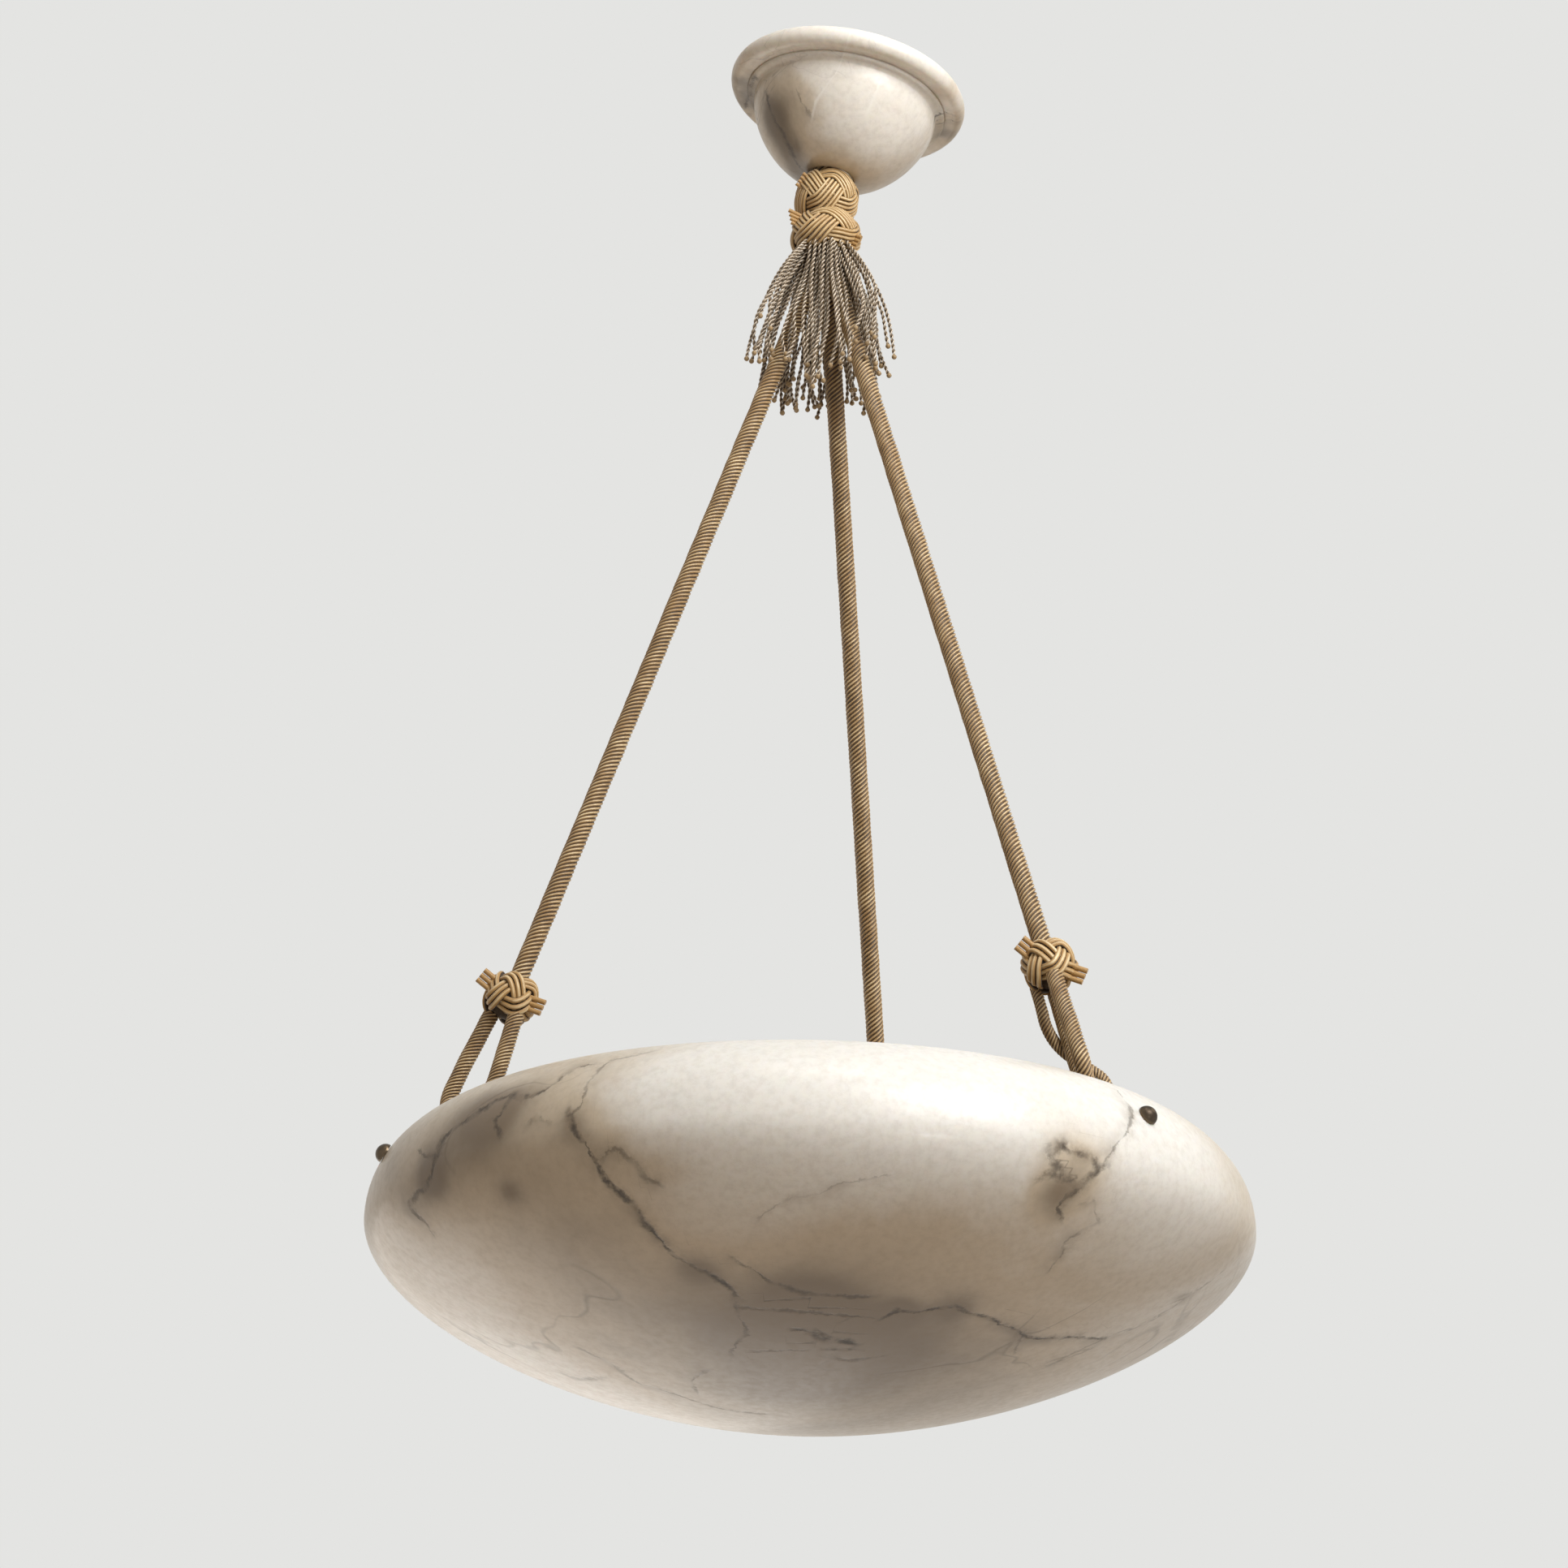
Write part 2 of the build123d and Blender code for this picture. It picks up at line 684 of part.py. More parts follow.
with BuildPart() as lampholder:
    with BuildSketch(holder_plane):
        Circle(holder_diameter / 2)
    extrude(amount=holder_length)
    chamfer(lampholder.faces().sort_by(Axis.X)[-1].edges(), length=1)
    with BuildSketch(holder_plane.offset(holder_length - holder_depth)):
        Circle(holder_bore / 2)
    extrude(amount=holder_depth, mode=Mode.SUBTRACT)
    with BuildSketch(holder_plane):
        Circle(spigot_radius)
    extrude(amount=-spigot_length)

with BuildPart() as bulb:
    with BuildSketch(holder_plane.offset(bulb_start)):
        Circle(bulb_cap_diameter / 2)
    extrude(amount=holder_length - bulb_start + 1)
    with BuildSketch(holder_plane.offset(holder_length + 1)):
        Circle(bulb_cap_diameter / 2)
    with BuildSketch(holder_plane.offset(globe_middle - globe_radius * 0.55)):
        Circle(globe_radius * 0.8)
    loft()
    with Locations(holder_plane.offset(globe_middle)):
        Sphere(globe_radius)

for number, turn in enumerate(rope_turns.values(), start=1):
    save(f"lampholder_{number}", turned(lampholder.part, turn + between))
    save(f"bulb_{number}", turned(bulb.part, turn + between))

with BuildPart() as flex_gland:
    with BuildSketch(Plane.XY.offset(hub_top)):
        RegularPolygon(gland_diameter / 2, 6, major_radius=False)
    extrude(amount=gland_height)
    with BuildSketch(Plane.XY.offset(hub_top)):
        Circle(gland_diameter / 2 - 2)
    extrude(amount=-gland_seat + fit)
    with BuildSketch(Plane.XY.offset(hub_top + gland_height)):
        Circle(gland_bore)
    extrude(amount=-gland_height - gland_seat, mode=Mode.SUBTRACT)
save("flex_gland", flex_gland.part)

# ---------------------------------------------------------------- lamp flex

# From the right rope's knot it passes behind the loop, over the lip and down to the gland.
flex_points = []
for point in flex_beside_knot:
    flex_points.append(knot_plane.from_local_coords(Vector(*point)).rotate(Axis.Z, rope_turns["right"]))
for x, y, height in flex_in_bowl:
    flex_points.append(Vector(x, y, bowl_z + height))
flex_radii = []
for before, point, after in zip(flex_points, flex_points[1:], flex_points[2:]):
    run_in = point - before
    run_out = after - point
    half_turn = radians(run_in.get_angle(run_out) / 2)
    flex_radii.append(0.45 * min(run_in.length, run_out.length) / tan(half_turn))
print("flex radii", [round(radius, 1) for radius in flex_radii])

with BuildPart() as lamp_flex:
    with BuildLine() as flex_line:
        FilletPolyline(*flex_points, radius=flex_radii)
    with BuildSketch(Plane(origin=flex_line.line @ 0, z_dir=flex_line.line % 0)):
        Circle(flex_diameter / 2)
    sweep()
flex_length = sum(edge.length for edge in flex_line.edges())
print(f"flex length {flex_length:.0f}, volume {flex_length * pi * flex_diameter**2 / 4:.0f} expected")
save("lamp_flex", lamp_flex.part)
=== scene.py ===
# %% [markdown]
# # An alabaster bowl hung on three gold cords
# The lamp is a shallow bowl turned from alabaster. Three wrapped cords carry it. They meet in
# two knots and a tassel, and a small stone cup above the knots hides the hook in the ceiling.
# This lesson dresses the plain solids of the lamp, one finish at a time: first the camera and
# the cords, then the knots and the tassel, the stone, the metal, and last the light.

# %% Load the solids
import random
from math import cos, pi, radians, sin, sqrt

import bmesh
import bpy
from mathutils import Matrix, Vector
from mathutils.bvhtree import BVHTree
from mathutils.kdtree import KDTree


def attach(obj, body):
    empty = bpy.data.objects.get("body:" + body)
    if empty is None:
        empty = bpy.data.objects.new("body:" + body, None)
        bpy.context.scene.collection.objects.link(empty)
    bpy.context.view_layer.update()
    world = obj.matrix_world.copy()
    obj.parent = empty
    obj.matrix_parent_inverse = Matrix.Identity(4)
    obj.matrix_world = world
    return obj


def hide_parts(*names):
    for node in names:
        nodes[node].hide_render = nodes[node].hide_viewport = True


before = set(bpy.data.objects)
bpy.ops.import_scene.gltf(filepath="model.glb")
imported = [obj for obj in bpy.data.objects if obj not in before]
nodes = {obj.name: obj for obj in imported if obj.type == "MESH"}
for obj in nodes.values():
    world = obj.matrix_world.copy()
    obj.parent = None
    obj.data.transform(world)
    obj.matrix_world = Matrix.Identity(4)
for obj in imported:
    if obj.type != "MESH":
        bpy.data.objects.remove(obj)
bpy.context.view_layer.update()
mm = 0.001

# %% [markdown]
# ## The camera
# The picture was taken from below, with the lamp almost square in the frame. The camera's place,
# its turn and its lens come from the bowl's outline and the places of the knots. A long lens
# keeps the bowl from bulging.

# %% Camera
camera_place = Vector((0.01091, -1.94515, -1.18911))
camera_pitch = radians(20.85)
camera_yaw = radians(-0.836)
camera_roll = radians(1.130)
lens = 90.29
picture = 1932
focus = lens / 36 * picture

forward = Vector((sin(camera_yaw) * cos(camera_pitch), cos(camera_yaw) * cos(camera_pitch), sin(camera_pitch)))
level_right = forward.cross(Vector((0, 0, 1))).normalized()
level_up = level_right.cross(forward)
camera_right = level_right * cos(camera_roll) + level_up * sin(camera_roll)
camera_up = level_up * cos(camera_roll) - level_right * sin(camera_roll)

camera = bpy.data.objects.new("camera", bpy.data.cameras.new("camera"))
camera.data.lens = lens
camera.data.sensor_width = 36
camera.data.clip_end = 50
turn = Matrix((camera_right, camera_up, -forward)).transposed().to_4x4()
camera.matrix_world = Matrix.Translation(camera_place) @ turn
bpy.context.scene.collection.objects.link(camera)
bpy.context.scene.camera = camera
print(f"camera at {tuple(camera_place)}, lens {lens} mm")

# %% [markdown]
# ## Small helpers
# A node tree is easier to read when a node and what feeds it stand on one line. `place` adds a
# node, and a socket given as a value becomes a link. `calc` is one Math node.

# %% Node helpers
def place(tree, kind, settings=(), inputs=()):
    node = tree.nodes.new(kind)
    for key, value in dict(settings).items():
        setattr(node, key, value)
    for key, value in dict(inputs).items():
        if isinstance(value, bpy.types.NodeSocket):
            tree.links.new(value, node.inputs[key])
        else:
            node.inputs[key].default_value = value
    return node


def calc(tree, operation, *values):
    inputs = {index: value for index, value in enumerate(values)}
    return place(tree, "ShaderNodeMath", {"operation": operation}, inputs).outputs[0]


def ramp(tree, value, low, high, to_low=0.0, to_high=1.0):
    """Maps low..high smoothly to to_low..to_high."""
    inputs = {0: value, 1: low, 2: high, 3: to_low, 4: to_high}
    settings = {"interpolation_type": "SMOOTHSTEP"}
    return place(tree, "ShaderNodeMapRange", settings, inputs).outputs[0]


def vector_calc(tree, operation, inputs):
    return place(tree, "ShaderNodeVectorMath", {"operation": operation}, inputs).outputs


def blend_colour(tree, factor, first, second):
    return place(tree, "ShaderNodeMix", {"data_type": "RGBA"}, {0: factor, 6: first, 7: second}).outputs[2]


def group_tree(name, kind, inputs, outputs):
    """A node group with named inputs (label, type, default) and outputs (label, type)."""
    tree = bpy.data.node_groups.new(name, kind)
    for label, socket, default in inputs:
        made = tree.interface.new_socket(label, in_out="INPUT", socket_type="NodeSocket" + socket)
        if default is not None:
            made.default_value = default
    for label, socket in outputs:
        tree.interface.new_socket(label, in_out="OUTPUT", socket_type="NodeSocket" + socket)
    return tree, tree.nodes.new("NodeGroupInput").outputs, tree.nodes.new("NodeGroupOutput").inputs


print("node helpers ready")

# %% [markdown]
# Every finish starts from one Principled shader. What is the same all over a piece is set on
# the shader's own sockets, and what changes over it comes through links.

# %% Material helpers
def new_finish(name, **constants):
    finish = bpy.data.materials.new(name)
    finish.use_nodes = True
    tree = finish.node_tree
    shader = tree.nodes["Principled BSDF"]
    for label, value in constants.items():
        shader.inputs[label.replace("_", " ")].default_value = value
    return finish, tree, shader.inputs


def position(tree):
    return place(tree, "ShaderNodeTexCoord").outputs["Object"]


def noise(tree, where, scale, detail=3.0, roughness=0.5, distortion=0.0):
    inputs = {"Vector": where, "Scale": scale, "Detail": detail, "Roughness": roughness, "Distortion": distortion}
    return place(tree, "ShaderNodeTexNoise", {}, inputs).outputs[0]


def attribute(tree, name):
    return place(tree, "ShaderNodeAttribute", {"attribute_name": name}).outputs


def bump(tree, height, strength, distance, under=None):
    inputs = {"Height": height, "Strength": strength, "Distance": distance}
    if under is not None:
        inputs["Normal"] = under
    return place(tree, "ShaderNodeBump", {}, inputs).outputs[0]


print("material helpers ready")

# %% Mesh helpers
def add_object(name, data):
    thing = bpy.data.objects.new(name, data)
    bpy.context.scene.collection.objects.link(thing)
    return thing


def lathe(name, outline, steps):
    """Turns an outline of (radius, height) points about Z. A point at radius 0 is a pole."""
    shape = bmesh.new()
    rings = []
    for radius, height in outline:
        if radius < 1e-7:
            rings.append([shape.verts.new((0, 0, height))])
            continue
        ring = []
        for step in range(steps):
            angle = 2 * pi * step / steps
            ring.append(shape.verts.new((radius * cos(angle), radius * sin(angle), height)))
        rings.append(ring)
    for low, high in zip(rings, rings[1:]):
        for step in range(steps):
            after = (step + 1) % steps
            corners = [low[step % len(low)], low[after % len(low)], high[after % len(high)], high[step % len(high)]]
            corners = list(dict.fromkeys(corners))
            shape.faces.new(corners)
    return shape, rings


def finish_mesh(name, shape, closed=None):
    """Closes the first and last rings on each other where asked, and turns the faces outwards."""
    if closed:
        first, last = closed
        steps = len(first)
        for step in range(steps):
            after = (step + 1) % steps
            shape.faces.new([last[step], last[after], first[after], first[step]])
    bmesh.ops.recalc_face_normals(shape, faces=shape.faces)
    for face in shape.faces:
        face.smooth = True
    data = bpy.data.meshes.new(name)
    shape.to_mesh(data)
    shape.free()
    return add_object(name, data)


def bezier(a, b, c, d, count):
    """Points on a Bezier curve from a up to, not with, d."""
    a, b, c, d = Vector(a), Vector(b), Vector(c), Vector(d)
    points = []
    for index in range(count):
        t = index / count
        s = 1 - t
        points.append(a * s**3 + b * (3 * s * s * t) + c * (3 * s * t * t) + d * t**3)
    return points


print("mesh helpers ready")

# %% [markdown]
# ## The line of the cords
# Each cord runs from a knot at the head down to a loop round a bent eye bolt. The bolt stands
# square in the bowl's shoulder, so its foot is worked out from the shoulder's curve, with the
# same named sizes as the solids. All three cords are one line turned about the lamp's axis.

# %% Sizes shared with the solids
bowl_radius = 225 * mm
bowl_depth = 95 * mm
bowl_z = -694 * mm
bowl_wall = 11 * mm
lip_thickness = 8 * mm
lip_radius = bowl_radius - 30 * mm
lip_rise = 44.6 * mm
lip_slope = radians(25)
bowl_fullness = 0.44
shoulder_pull = 24 * mm
shoulder_reach = 16.2 * mm
rope_turns = {"back": 76.6, "left": 196.6, "right": 316.6}
rope_diameter = 10 * mm
loop_diameter = 8.5 * mm
loop_bend = 13 * mm
loop_seat = 36.7 * mm
loop_turn = radians(-50)
loop_gap = 8.3 * mm
knot_rise = 106.7 * mm
knot_diameter = 29.5 * mm
bolt_place = 0.42
bolt_reach = 27.7 * mm
skirt_bottom_z = -132 * mm
head_z = -97.5 * mm

lip_out = Vector((lip_radius, bowl_z + lip_rise))
lip_run = Vector((-cos(lip_slope), sin(lip_slope)))
lip_in = lip_out - lip_thickness * Vector((sin(lip_slope), cos(lip_slope)))
shoulder = bezier(
    (bowl_radius, bowl_z),
    (bowl_radius, bowl_z + shoulder_pull),
    lip_out - lip_run * shoulder_reach,
    lip_out,
    400,
)
print(f"the lip's outer edge is {lip_out.x * 2000:.0f} mm across")

# %% The foot of a bolt and the line of a cord
spans = [(b - a).length for a, b in zip(shoulder, shoulder[1:])]
walked = 0.0
for index, span in enumerate(spans):
    walked += span
    if walked > bolt_place * sum(spans):
        break
bolt_out = shoulder[index + 1]
slope = (shoulder[index + 2] - shoulder[index]).normalized()
bolt_axis = Vector((slope.y, 0, -slope.x))
foot = Vector((bolt_out.x, 0, bolt_out.y)) - bolt_axis * bolt_reach
rope_up = (Vector((0, 0, -128.6 * mm)) - foot).normalized()
rope_out = Vector((rope_up.z, 0, -rope_up.x))


def on_rope(distance):
    return foot + rope_up * distance


def beside_rope(angle):
    return rope_out * cos(angle) + Vector((0, 1, 0)) * sin(angle)


def turned(point, angle):
    return Matrix.Rotation(radians(angle), 3, "Z") @ Vector(point)


print(f"foot of a bolt {tuple(foot)}, cord direction {tuple(rope_up)}")

# %% [markdown]
# A cord follows one smooth line. A NURBS spline of order 3 stays near its points without
# passing through them, so a few points are enough, and no bend has a corner. The order is set
# after the points, because Blender lowers it while the spline is still short.

# %% Routes
def route(name, points):
    data = bpy.data.curves.new(name, "CURVE")
    data.dimensions = "3D"
    data.resolution_u = 24
    spline = data.splines.new("NURBS")
    spline.points.add(len(points) - 1)
    for target, point in zip(spline.points, points):
        target.co = (*point, 1)
    spline.order_u = 3
    spline.use_endpoint_u = True
    return add_object(name, data)


def route_line(line):
    """The points that a route's spline runs through, in metres."""
    data = bpy.data.meshes.new_from_object(line)
    points = [vertex.co.copy() for vertex in data.vertices]
    bpy.data.meshes.remove(data)
    return points


def line_length(points):
    return sum((b - a).length for a, b in zip(points, points[1:]))


print("routes ready")

# %% [markdown]
# ## Wrapped cord
# The cords are gimp: a core covered by yarns of silk that lie side by side and climb it
# steeply, so each one catches a thin pale light. The tree draws the cord's cut once, a ring
# with one bulge per yarn, and turns that cut steadily while it sweeps along the route. The
# faces then follow the yarns, and few of them are enough. A slow noise makes the cord a little
# thicker here and thinner there. The height of a bulge stays in an attribute called `wrap`.

# %% Steps that every cord tree shares
def resample(tree, curve, step):
    way = {"Curve": curve, "Length": step}
    return place(tree, "GeometryNodeResampleCurve", {"mode": "LENGTH"}, way).outputs[0]


def circle(tree, sides, radius):
    return place(tree, "GeometryNodeCurvePrimitiveCircle", {}, {"Resolution": sides, "Radius": radius}).outputs[0]


def store(tree, geometry, name, value):
    keep = {"Geometry": geometry, "Name": name, "Value": value}
    return place(tree, "GeometryNodeStoreNamedAttribute", {}, keep).outputs[0]


def sweep(tree, line, ring):
    inputs = {"Curve": line, "Profile Curve": ring, "Fill Caps": True}
    return place(tree, "GeometryNodeCurveToMesh", {}, inputs).outputs[0]


def end_tree(tree, geometry, finish, result):
    smooth = place(tree, "GeometryNodeSetShadeSmooth", {}, {0: geometry}).outputs[0]
    real = place(tree, "GeometryNodeRealizeInstances", {}, {0: smooth}).outputs[0]
    dressed = place(tree, "GeometryNodeSetMaterial", {}, {"Geometry": real, "Material": finish})
    tree.links.new(dressed.outputs[0], result[0])


print("shared tree steps ready")

# %% Tree: wrapped cord
def wrapped_cord_tree():
    tree, given, result = group_tree(
        "wrapped cord",
        "GeometryNodeTree",
        [
            ("Geometry", "Geometry", None),
            ("Radius", "Float", 0.005),
            ("Wrap Pitch", "Float", 0.0024),
            ("Yarns", "Int", 8),
            ("Yarn Depth", "Float", 0.0007),
            ("Unevenness", "Float", 0.0003),
            ("Step", "Float", 0.0008),
            ("Finish", "Material", None),
        ],
        [("Geometry", "Geometry")],
    )
    line = resample(tree, given["Geometry"], given["Step"])
    along = place(tree, "GeometryNodeSplineParameter").outputs["Length"]
    lead = calc(tree, "MULTIPLY", given["Wrap Pitch"], given["Yarns"])
    turn = calc(tree, "MULTIPLY", calc(tree, "DIVIDE", along, lead), 2 * pi)
    line = place(tree, "GeometryNodeSetCurveTilt", {}, {"Curve": line, "Tilt": turn}).outputs[0]
    ring = circle(tree, calc(tree, "MULTIPLY", given["Yarns"], 6), given["Radius"])
    around = place(tree, "GeometryNodeSplineParameter").outputs["Factor"]
    phase = calc(tree, "MULTIPLY", calc(tree, "MULTIPLY", around, given["Yarns"]), pi)
    bulge = calc(tree, "ABSOLUTE", calc(tree, "SINE", phase))
    bulge = calc(tree, "POWER", bulge, 0.7)
    # `wrap` is a yarn's height. From it the silk paints shade in the grooves and a highlight on the crests.
    ring = store(tree, ring, "wrap", bulge)
    bulge = place(tree, "GeometryNodeInputNamedAttribute", {}, {"Name": "wrap"}).outputs[0]
    low = calc(tree, "DIVIDE", given["Yarn Depth"], given["Radius"])
    size = calc(tree, "SUBTRACT", 1.0, calc(tree, "MULTIPLY", calc(tree, "SUBTRACT", 1.0, bulge), low))
    spot = place(tree, "GeometryNodeInputPosition").outputs[0]
    inward = vector_calc(tree, "SCALE", {0: spot, "Scale": size})[0]
    ring = place(tree, "GeometryNodeSetPosition", {}, {"Geometry": ring, "Position": inward}).outputs[0]
    tube = sweep(tree, line, ring)
    slow = place(tree, "ShaderNodeTexNoise", {}, {"Vector": spot, "Scale": 110.0, "Detail": 1.0}).outputs[0]
    swell = calc(tree, "MULTIPLY", calc(tree, "SUBTRACT", slow, 0.5), given["Unevenness"])
    normal = place(tree, "GeometryNodeInputNormal").outputs[0]
    push = vector_calc(tree, "SCALE", {0: normal, "Scale": swell})[0]
    tube = place(tree, "GeometryNodeSetPosition", {}, {"Geometry": tube, "Offset": push}).outputs[0]
    end_tree(tree, tube, given["Finish"], result)
    return tree


wrapped_cord = wrapped_cord_tree()
print(f"tree {wrapped_cord.name} with {len(wrapped_cord.nodes)} nodes")

# %% Turn a tree's result into a plain mesh
def grow(source, tree, name, values):
    """Runs the tree on source and returns its result as a mesh object of its own."""
    modifier = source.modifiers.new(tree.name, "NODES")
    modifier.node_group = tree
    for item in tree.interface.items_tree:
        if item.item_type == "SOCKET" and item.in_out == "INPUT" and item.name in values:
            modifier[item.identifier] = values[item.name]
    source.update_tag()
    bpy.context.view_layer.update()
    ready = source.evaluated_get(bpy.context.evaluated_depsgraph_get())
    data = bpy.data.meshes.new_from_object(ready)
    source.modifiers.remove(modifier)
    data.name = name
    return add_object(name, data)


def discard(thing):
    data = thing.data
    bpy.data.objects.remove(thing)
    if isinstance(data, bpy.types.Curve):
        bpy.data.curves.remove(data)
    else:
        bpy.data.meshes.remove(data)


print("trees can be grown")

# %% [markdown]
# ## Silk
# The silk is golden brown with a soft shine. The valleys between wraps get a painted shade, and
# the crests a painted highlight. One group mixes those three tones from any height value, so
# the cords, the knots and the tassel share it with their own values.

# %% Shared group: silk tones
def silk_tones_tree():
    tree, given, result = group_tree(
        "silk tones",
        "ShaderNodeTree",
        [
            ("Height", "Float", 1.0),
            ("Painted Shade", "Color", (0.035, 0.018, 0.006, 1)),
            ("Silk", "Color", (0.34, 0.20, 0.075, 1)),
            ("Painted Highlight", "Color", (0.95, 0.80, 0.50, 1)),
            ("Valley", "Float", 0.84),
            ("Crest", "Float", 0.86),
            ("Patch Scale", "Float", 90.0),
        ],
        [("Color", "Color"), ("Fuzz", "Float"), ("Painted Highlight Mask", "Float")],
    )
    where = position(tree)
    patch = noise(tree, where, given["Patch Scale"], 3.0, 0.6)
    uneven = calc(tree, "ADD", given["Height"], calc(tree, "MULTIPLY", calc(tree, "SUBTRACT", patch, 0.5), 0.35))
    # Low heights get a painted shade for the valleys, and high ones a painted highlight for the crests.
    low = ramp(tree, uneven, 0.25, given["Valley"])
    high = ramp(tree, uneven, given["Crest"], 1.12)
    body = blend_colour(tree, low, given["Painted Shade"], given["Silk"])
    colour = blend_colour(tree, high, body, given["Painted Highlight"])
    fuzz = noise(tree, where, 2600.0, 2.0, 0.6)
    tree.links.new(colour, result["Color"])
    tree.links.new(fuzz, result["Fuzz"])
    tree.links.new(high, result["Painted Highlight Mask"])
    return tree


silk_tones = silk_tones_tree()
print(f"group {silk_tones.name} ready")

# %% Silk finishes
def silk(name, height_name, values, depth):
    finish, tree, shader = new_finish(name, Specular_IOR_Level=0.6, Sheen_Weight=0.25, Sheen_Roughness=0.4)
    tones = place(tree, "ShaderNodeGroup", {"node_tree": silk_tones}, values)
    tree.links.new(attribute(tree, height_name)["Fac"], tones.inputs["Height"])
    tree.links.new(tones.outputs["Color"], shader["Base Color"])
    tree.links.new(ramp(tree, tones.outputs["Painted Highlight Mask"], 0.0, 1.0, 0.5, 0.33), shader["Roughness"])
    tree.links.new(bump(tree, tones.outputs["Fuzz"], 0.35, depth), shader["Normal"])
    return finish


# Each finish paints shade and a highlight from its own height: `wrap` on the cords, `crown` on the knots, `ply` in
# the tassel.
cord_silk = silk("cord silk", "wrap", {}, 0.0002)
knot_silk = silk("knot silk", "crown", {"Silk": (0.44, 0.26, 0.09, 1), "Valley": 0.6, "Crest": 0.80}, 0.00015)
tassel_silk = silk(
    "tassel silk",
    "ply",
    {"Silk": (0.34, 0.23, 0.11, 1), "Painted Highlight": (0.92, 0.86, 0.76, 1), "Valley": 0.62, "Crest": 0.66},
    0.00015,
)
print("silk finishes ready")

# %% [markdown]
# ## The three cords and their loops
# The cord runs taut from inside the head knots to its loop knot. The loop is a second, thinner
# cord bent round the bolt's eye, both ends lost in the knot. Each piece's length is printed.

# %% Main cords
def wrapped(name, points, diameter, pitch, yarns, depth):
    line = route(name + "_route", points)
    path = route_line(line)
    values = {
        "Radius": diameter / 2, "Wrap Pitch": pitch, "Yarns": yarns, "Yarn Depth": depth,
        "Unevenness": diameter * 0.07, "Step": 0.8 * mm, "Finish": cord_silk,
    }
    piece = grow(line, wrapped_cord, name, values)
    discard(line)
    return piece, path


rope_foot = knot_rise + knot_diameter / 2 - 5 * mm
rope_top = (skirt_bottom_z - 14 * mm - foot.z) / rope_up.z
for name, angle in rope_turns.items():
    stops = (rope_foot, rope_foot + 60 * mm, rope_top - 60 * mm, rope_top)
    points = [turned(on_rope(stop), angle) for stop in stops]
    cord, path = wrapped(f"cord_{name}", points, rope_diameter, 2.45 * mm, 8, 1.0 * mm)
    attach(cord, "suspension")
    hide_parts(f"rope_{name}")
    print(f"cord_{name}: {line_length(path) * 1000:.0f} mm, {len(cord.data.polygons)} faces")

# %% Loops round the eyes
loop_low = on_rope(loop_seat)
loop_side = beside_rope(loop_turn)
leg_top = knot_rise - loop_seat - knot_diameter / 2 + 5 * mm
corner = loop_bend / cos(radians(22.5))
loop_points = [(-loop_gap, leg_top), (-10.4 * mm, leg_top - 17 * mm), (-12.6 * mm, 24 * mm)]
for angle in (-157.5, -112.5, -67.5, -22.5):
    loop_points.append((corner * cos(radians(angle)), loop_bend + corner * sin(radians(angle))))
loop_points += [(-x, y) for x, y in reversed(loop_points[:3])]

for name, angle in rope_turns.items():
    points = [turned(loop_low + loop_side * x + rope_up * y, angle) for x, y in loop_points]
    loop, path = wrapped(f"loop_{name}", points, loop_diameter, 2.0 * mm, 8, 0.85 * mm)
    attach(loop, "suspension")
    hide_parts(f"rope_loop_{name}")
    print(f"loop_{name}: {line_length(path) * 1000:.0f} mm")

# %% [markdown]
# The wire to the lamps comes down inside one cord. It leaves that cord's knot beside the loop,
# dressed in the same silk, goes over the lip into the bowl and enters the middle of the hub.

# %% Dressed lamp wire
wire_diameter = 6 * mm
wire_beside_knot = (
    (-6, -9, -6), (-6, -9, -17), (-10.5, -9.5, -27), (-17, -5.5, -37), (-19.5, 4.5, -48), (-18, 13, -60),
)
wire_in_bowl = (
    (147, -108, 34), (140, -102, 14), (120, -88, 0), (93, -68.5, 1), (66, -48.5, 10),
    (43.1, -31.8, 18), (24.4, -18, 24.2), (9.3, -6.8, 17.4), (0, 0, 1), (0, 0, -29),
)
knot_middle = on_rope(knot_rise)
knot_across = rope_up.cross(loop_side)
points = []
for x, y, z in wire_beside_knot:
    place_on_knot = knot_middle + (loop_side * x + knot_across * y + rope_up * z) * mm
    points.append(turned(place_on_knot, rope_turns["right"]))
for x, y, z in wire_in_bowl:
    points.append(Vector((x * mm, y * mm, bowl_z + z * mm)))
wire, path = wrapped("lamp_wire", points, wire_diameter, 1.9 * mm, 6, 0.45 * mm)
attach(wire, "suspension")
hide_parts("lamp_flex")
print(f"lamp_wire: {line_length(path) * 1000:.0f} mm")

# %% Stem inside the stone cup
stem, path = wrapped(
    "cord_stem", [Vector((0, 0, z * mm)) for z in (-97, -80, -64, -48.2)], 16 * mm, 3.2 * mm, 9, 1.0 * mm
)
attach(stem, "suspension")
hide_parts("rope_stem")
print(f"cord_stem: {line_length(path) * 1000:.0f} mm")
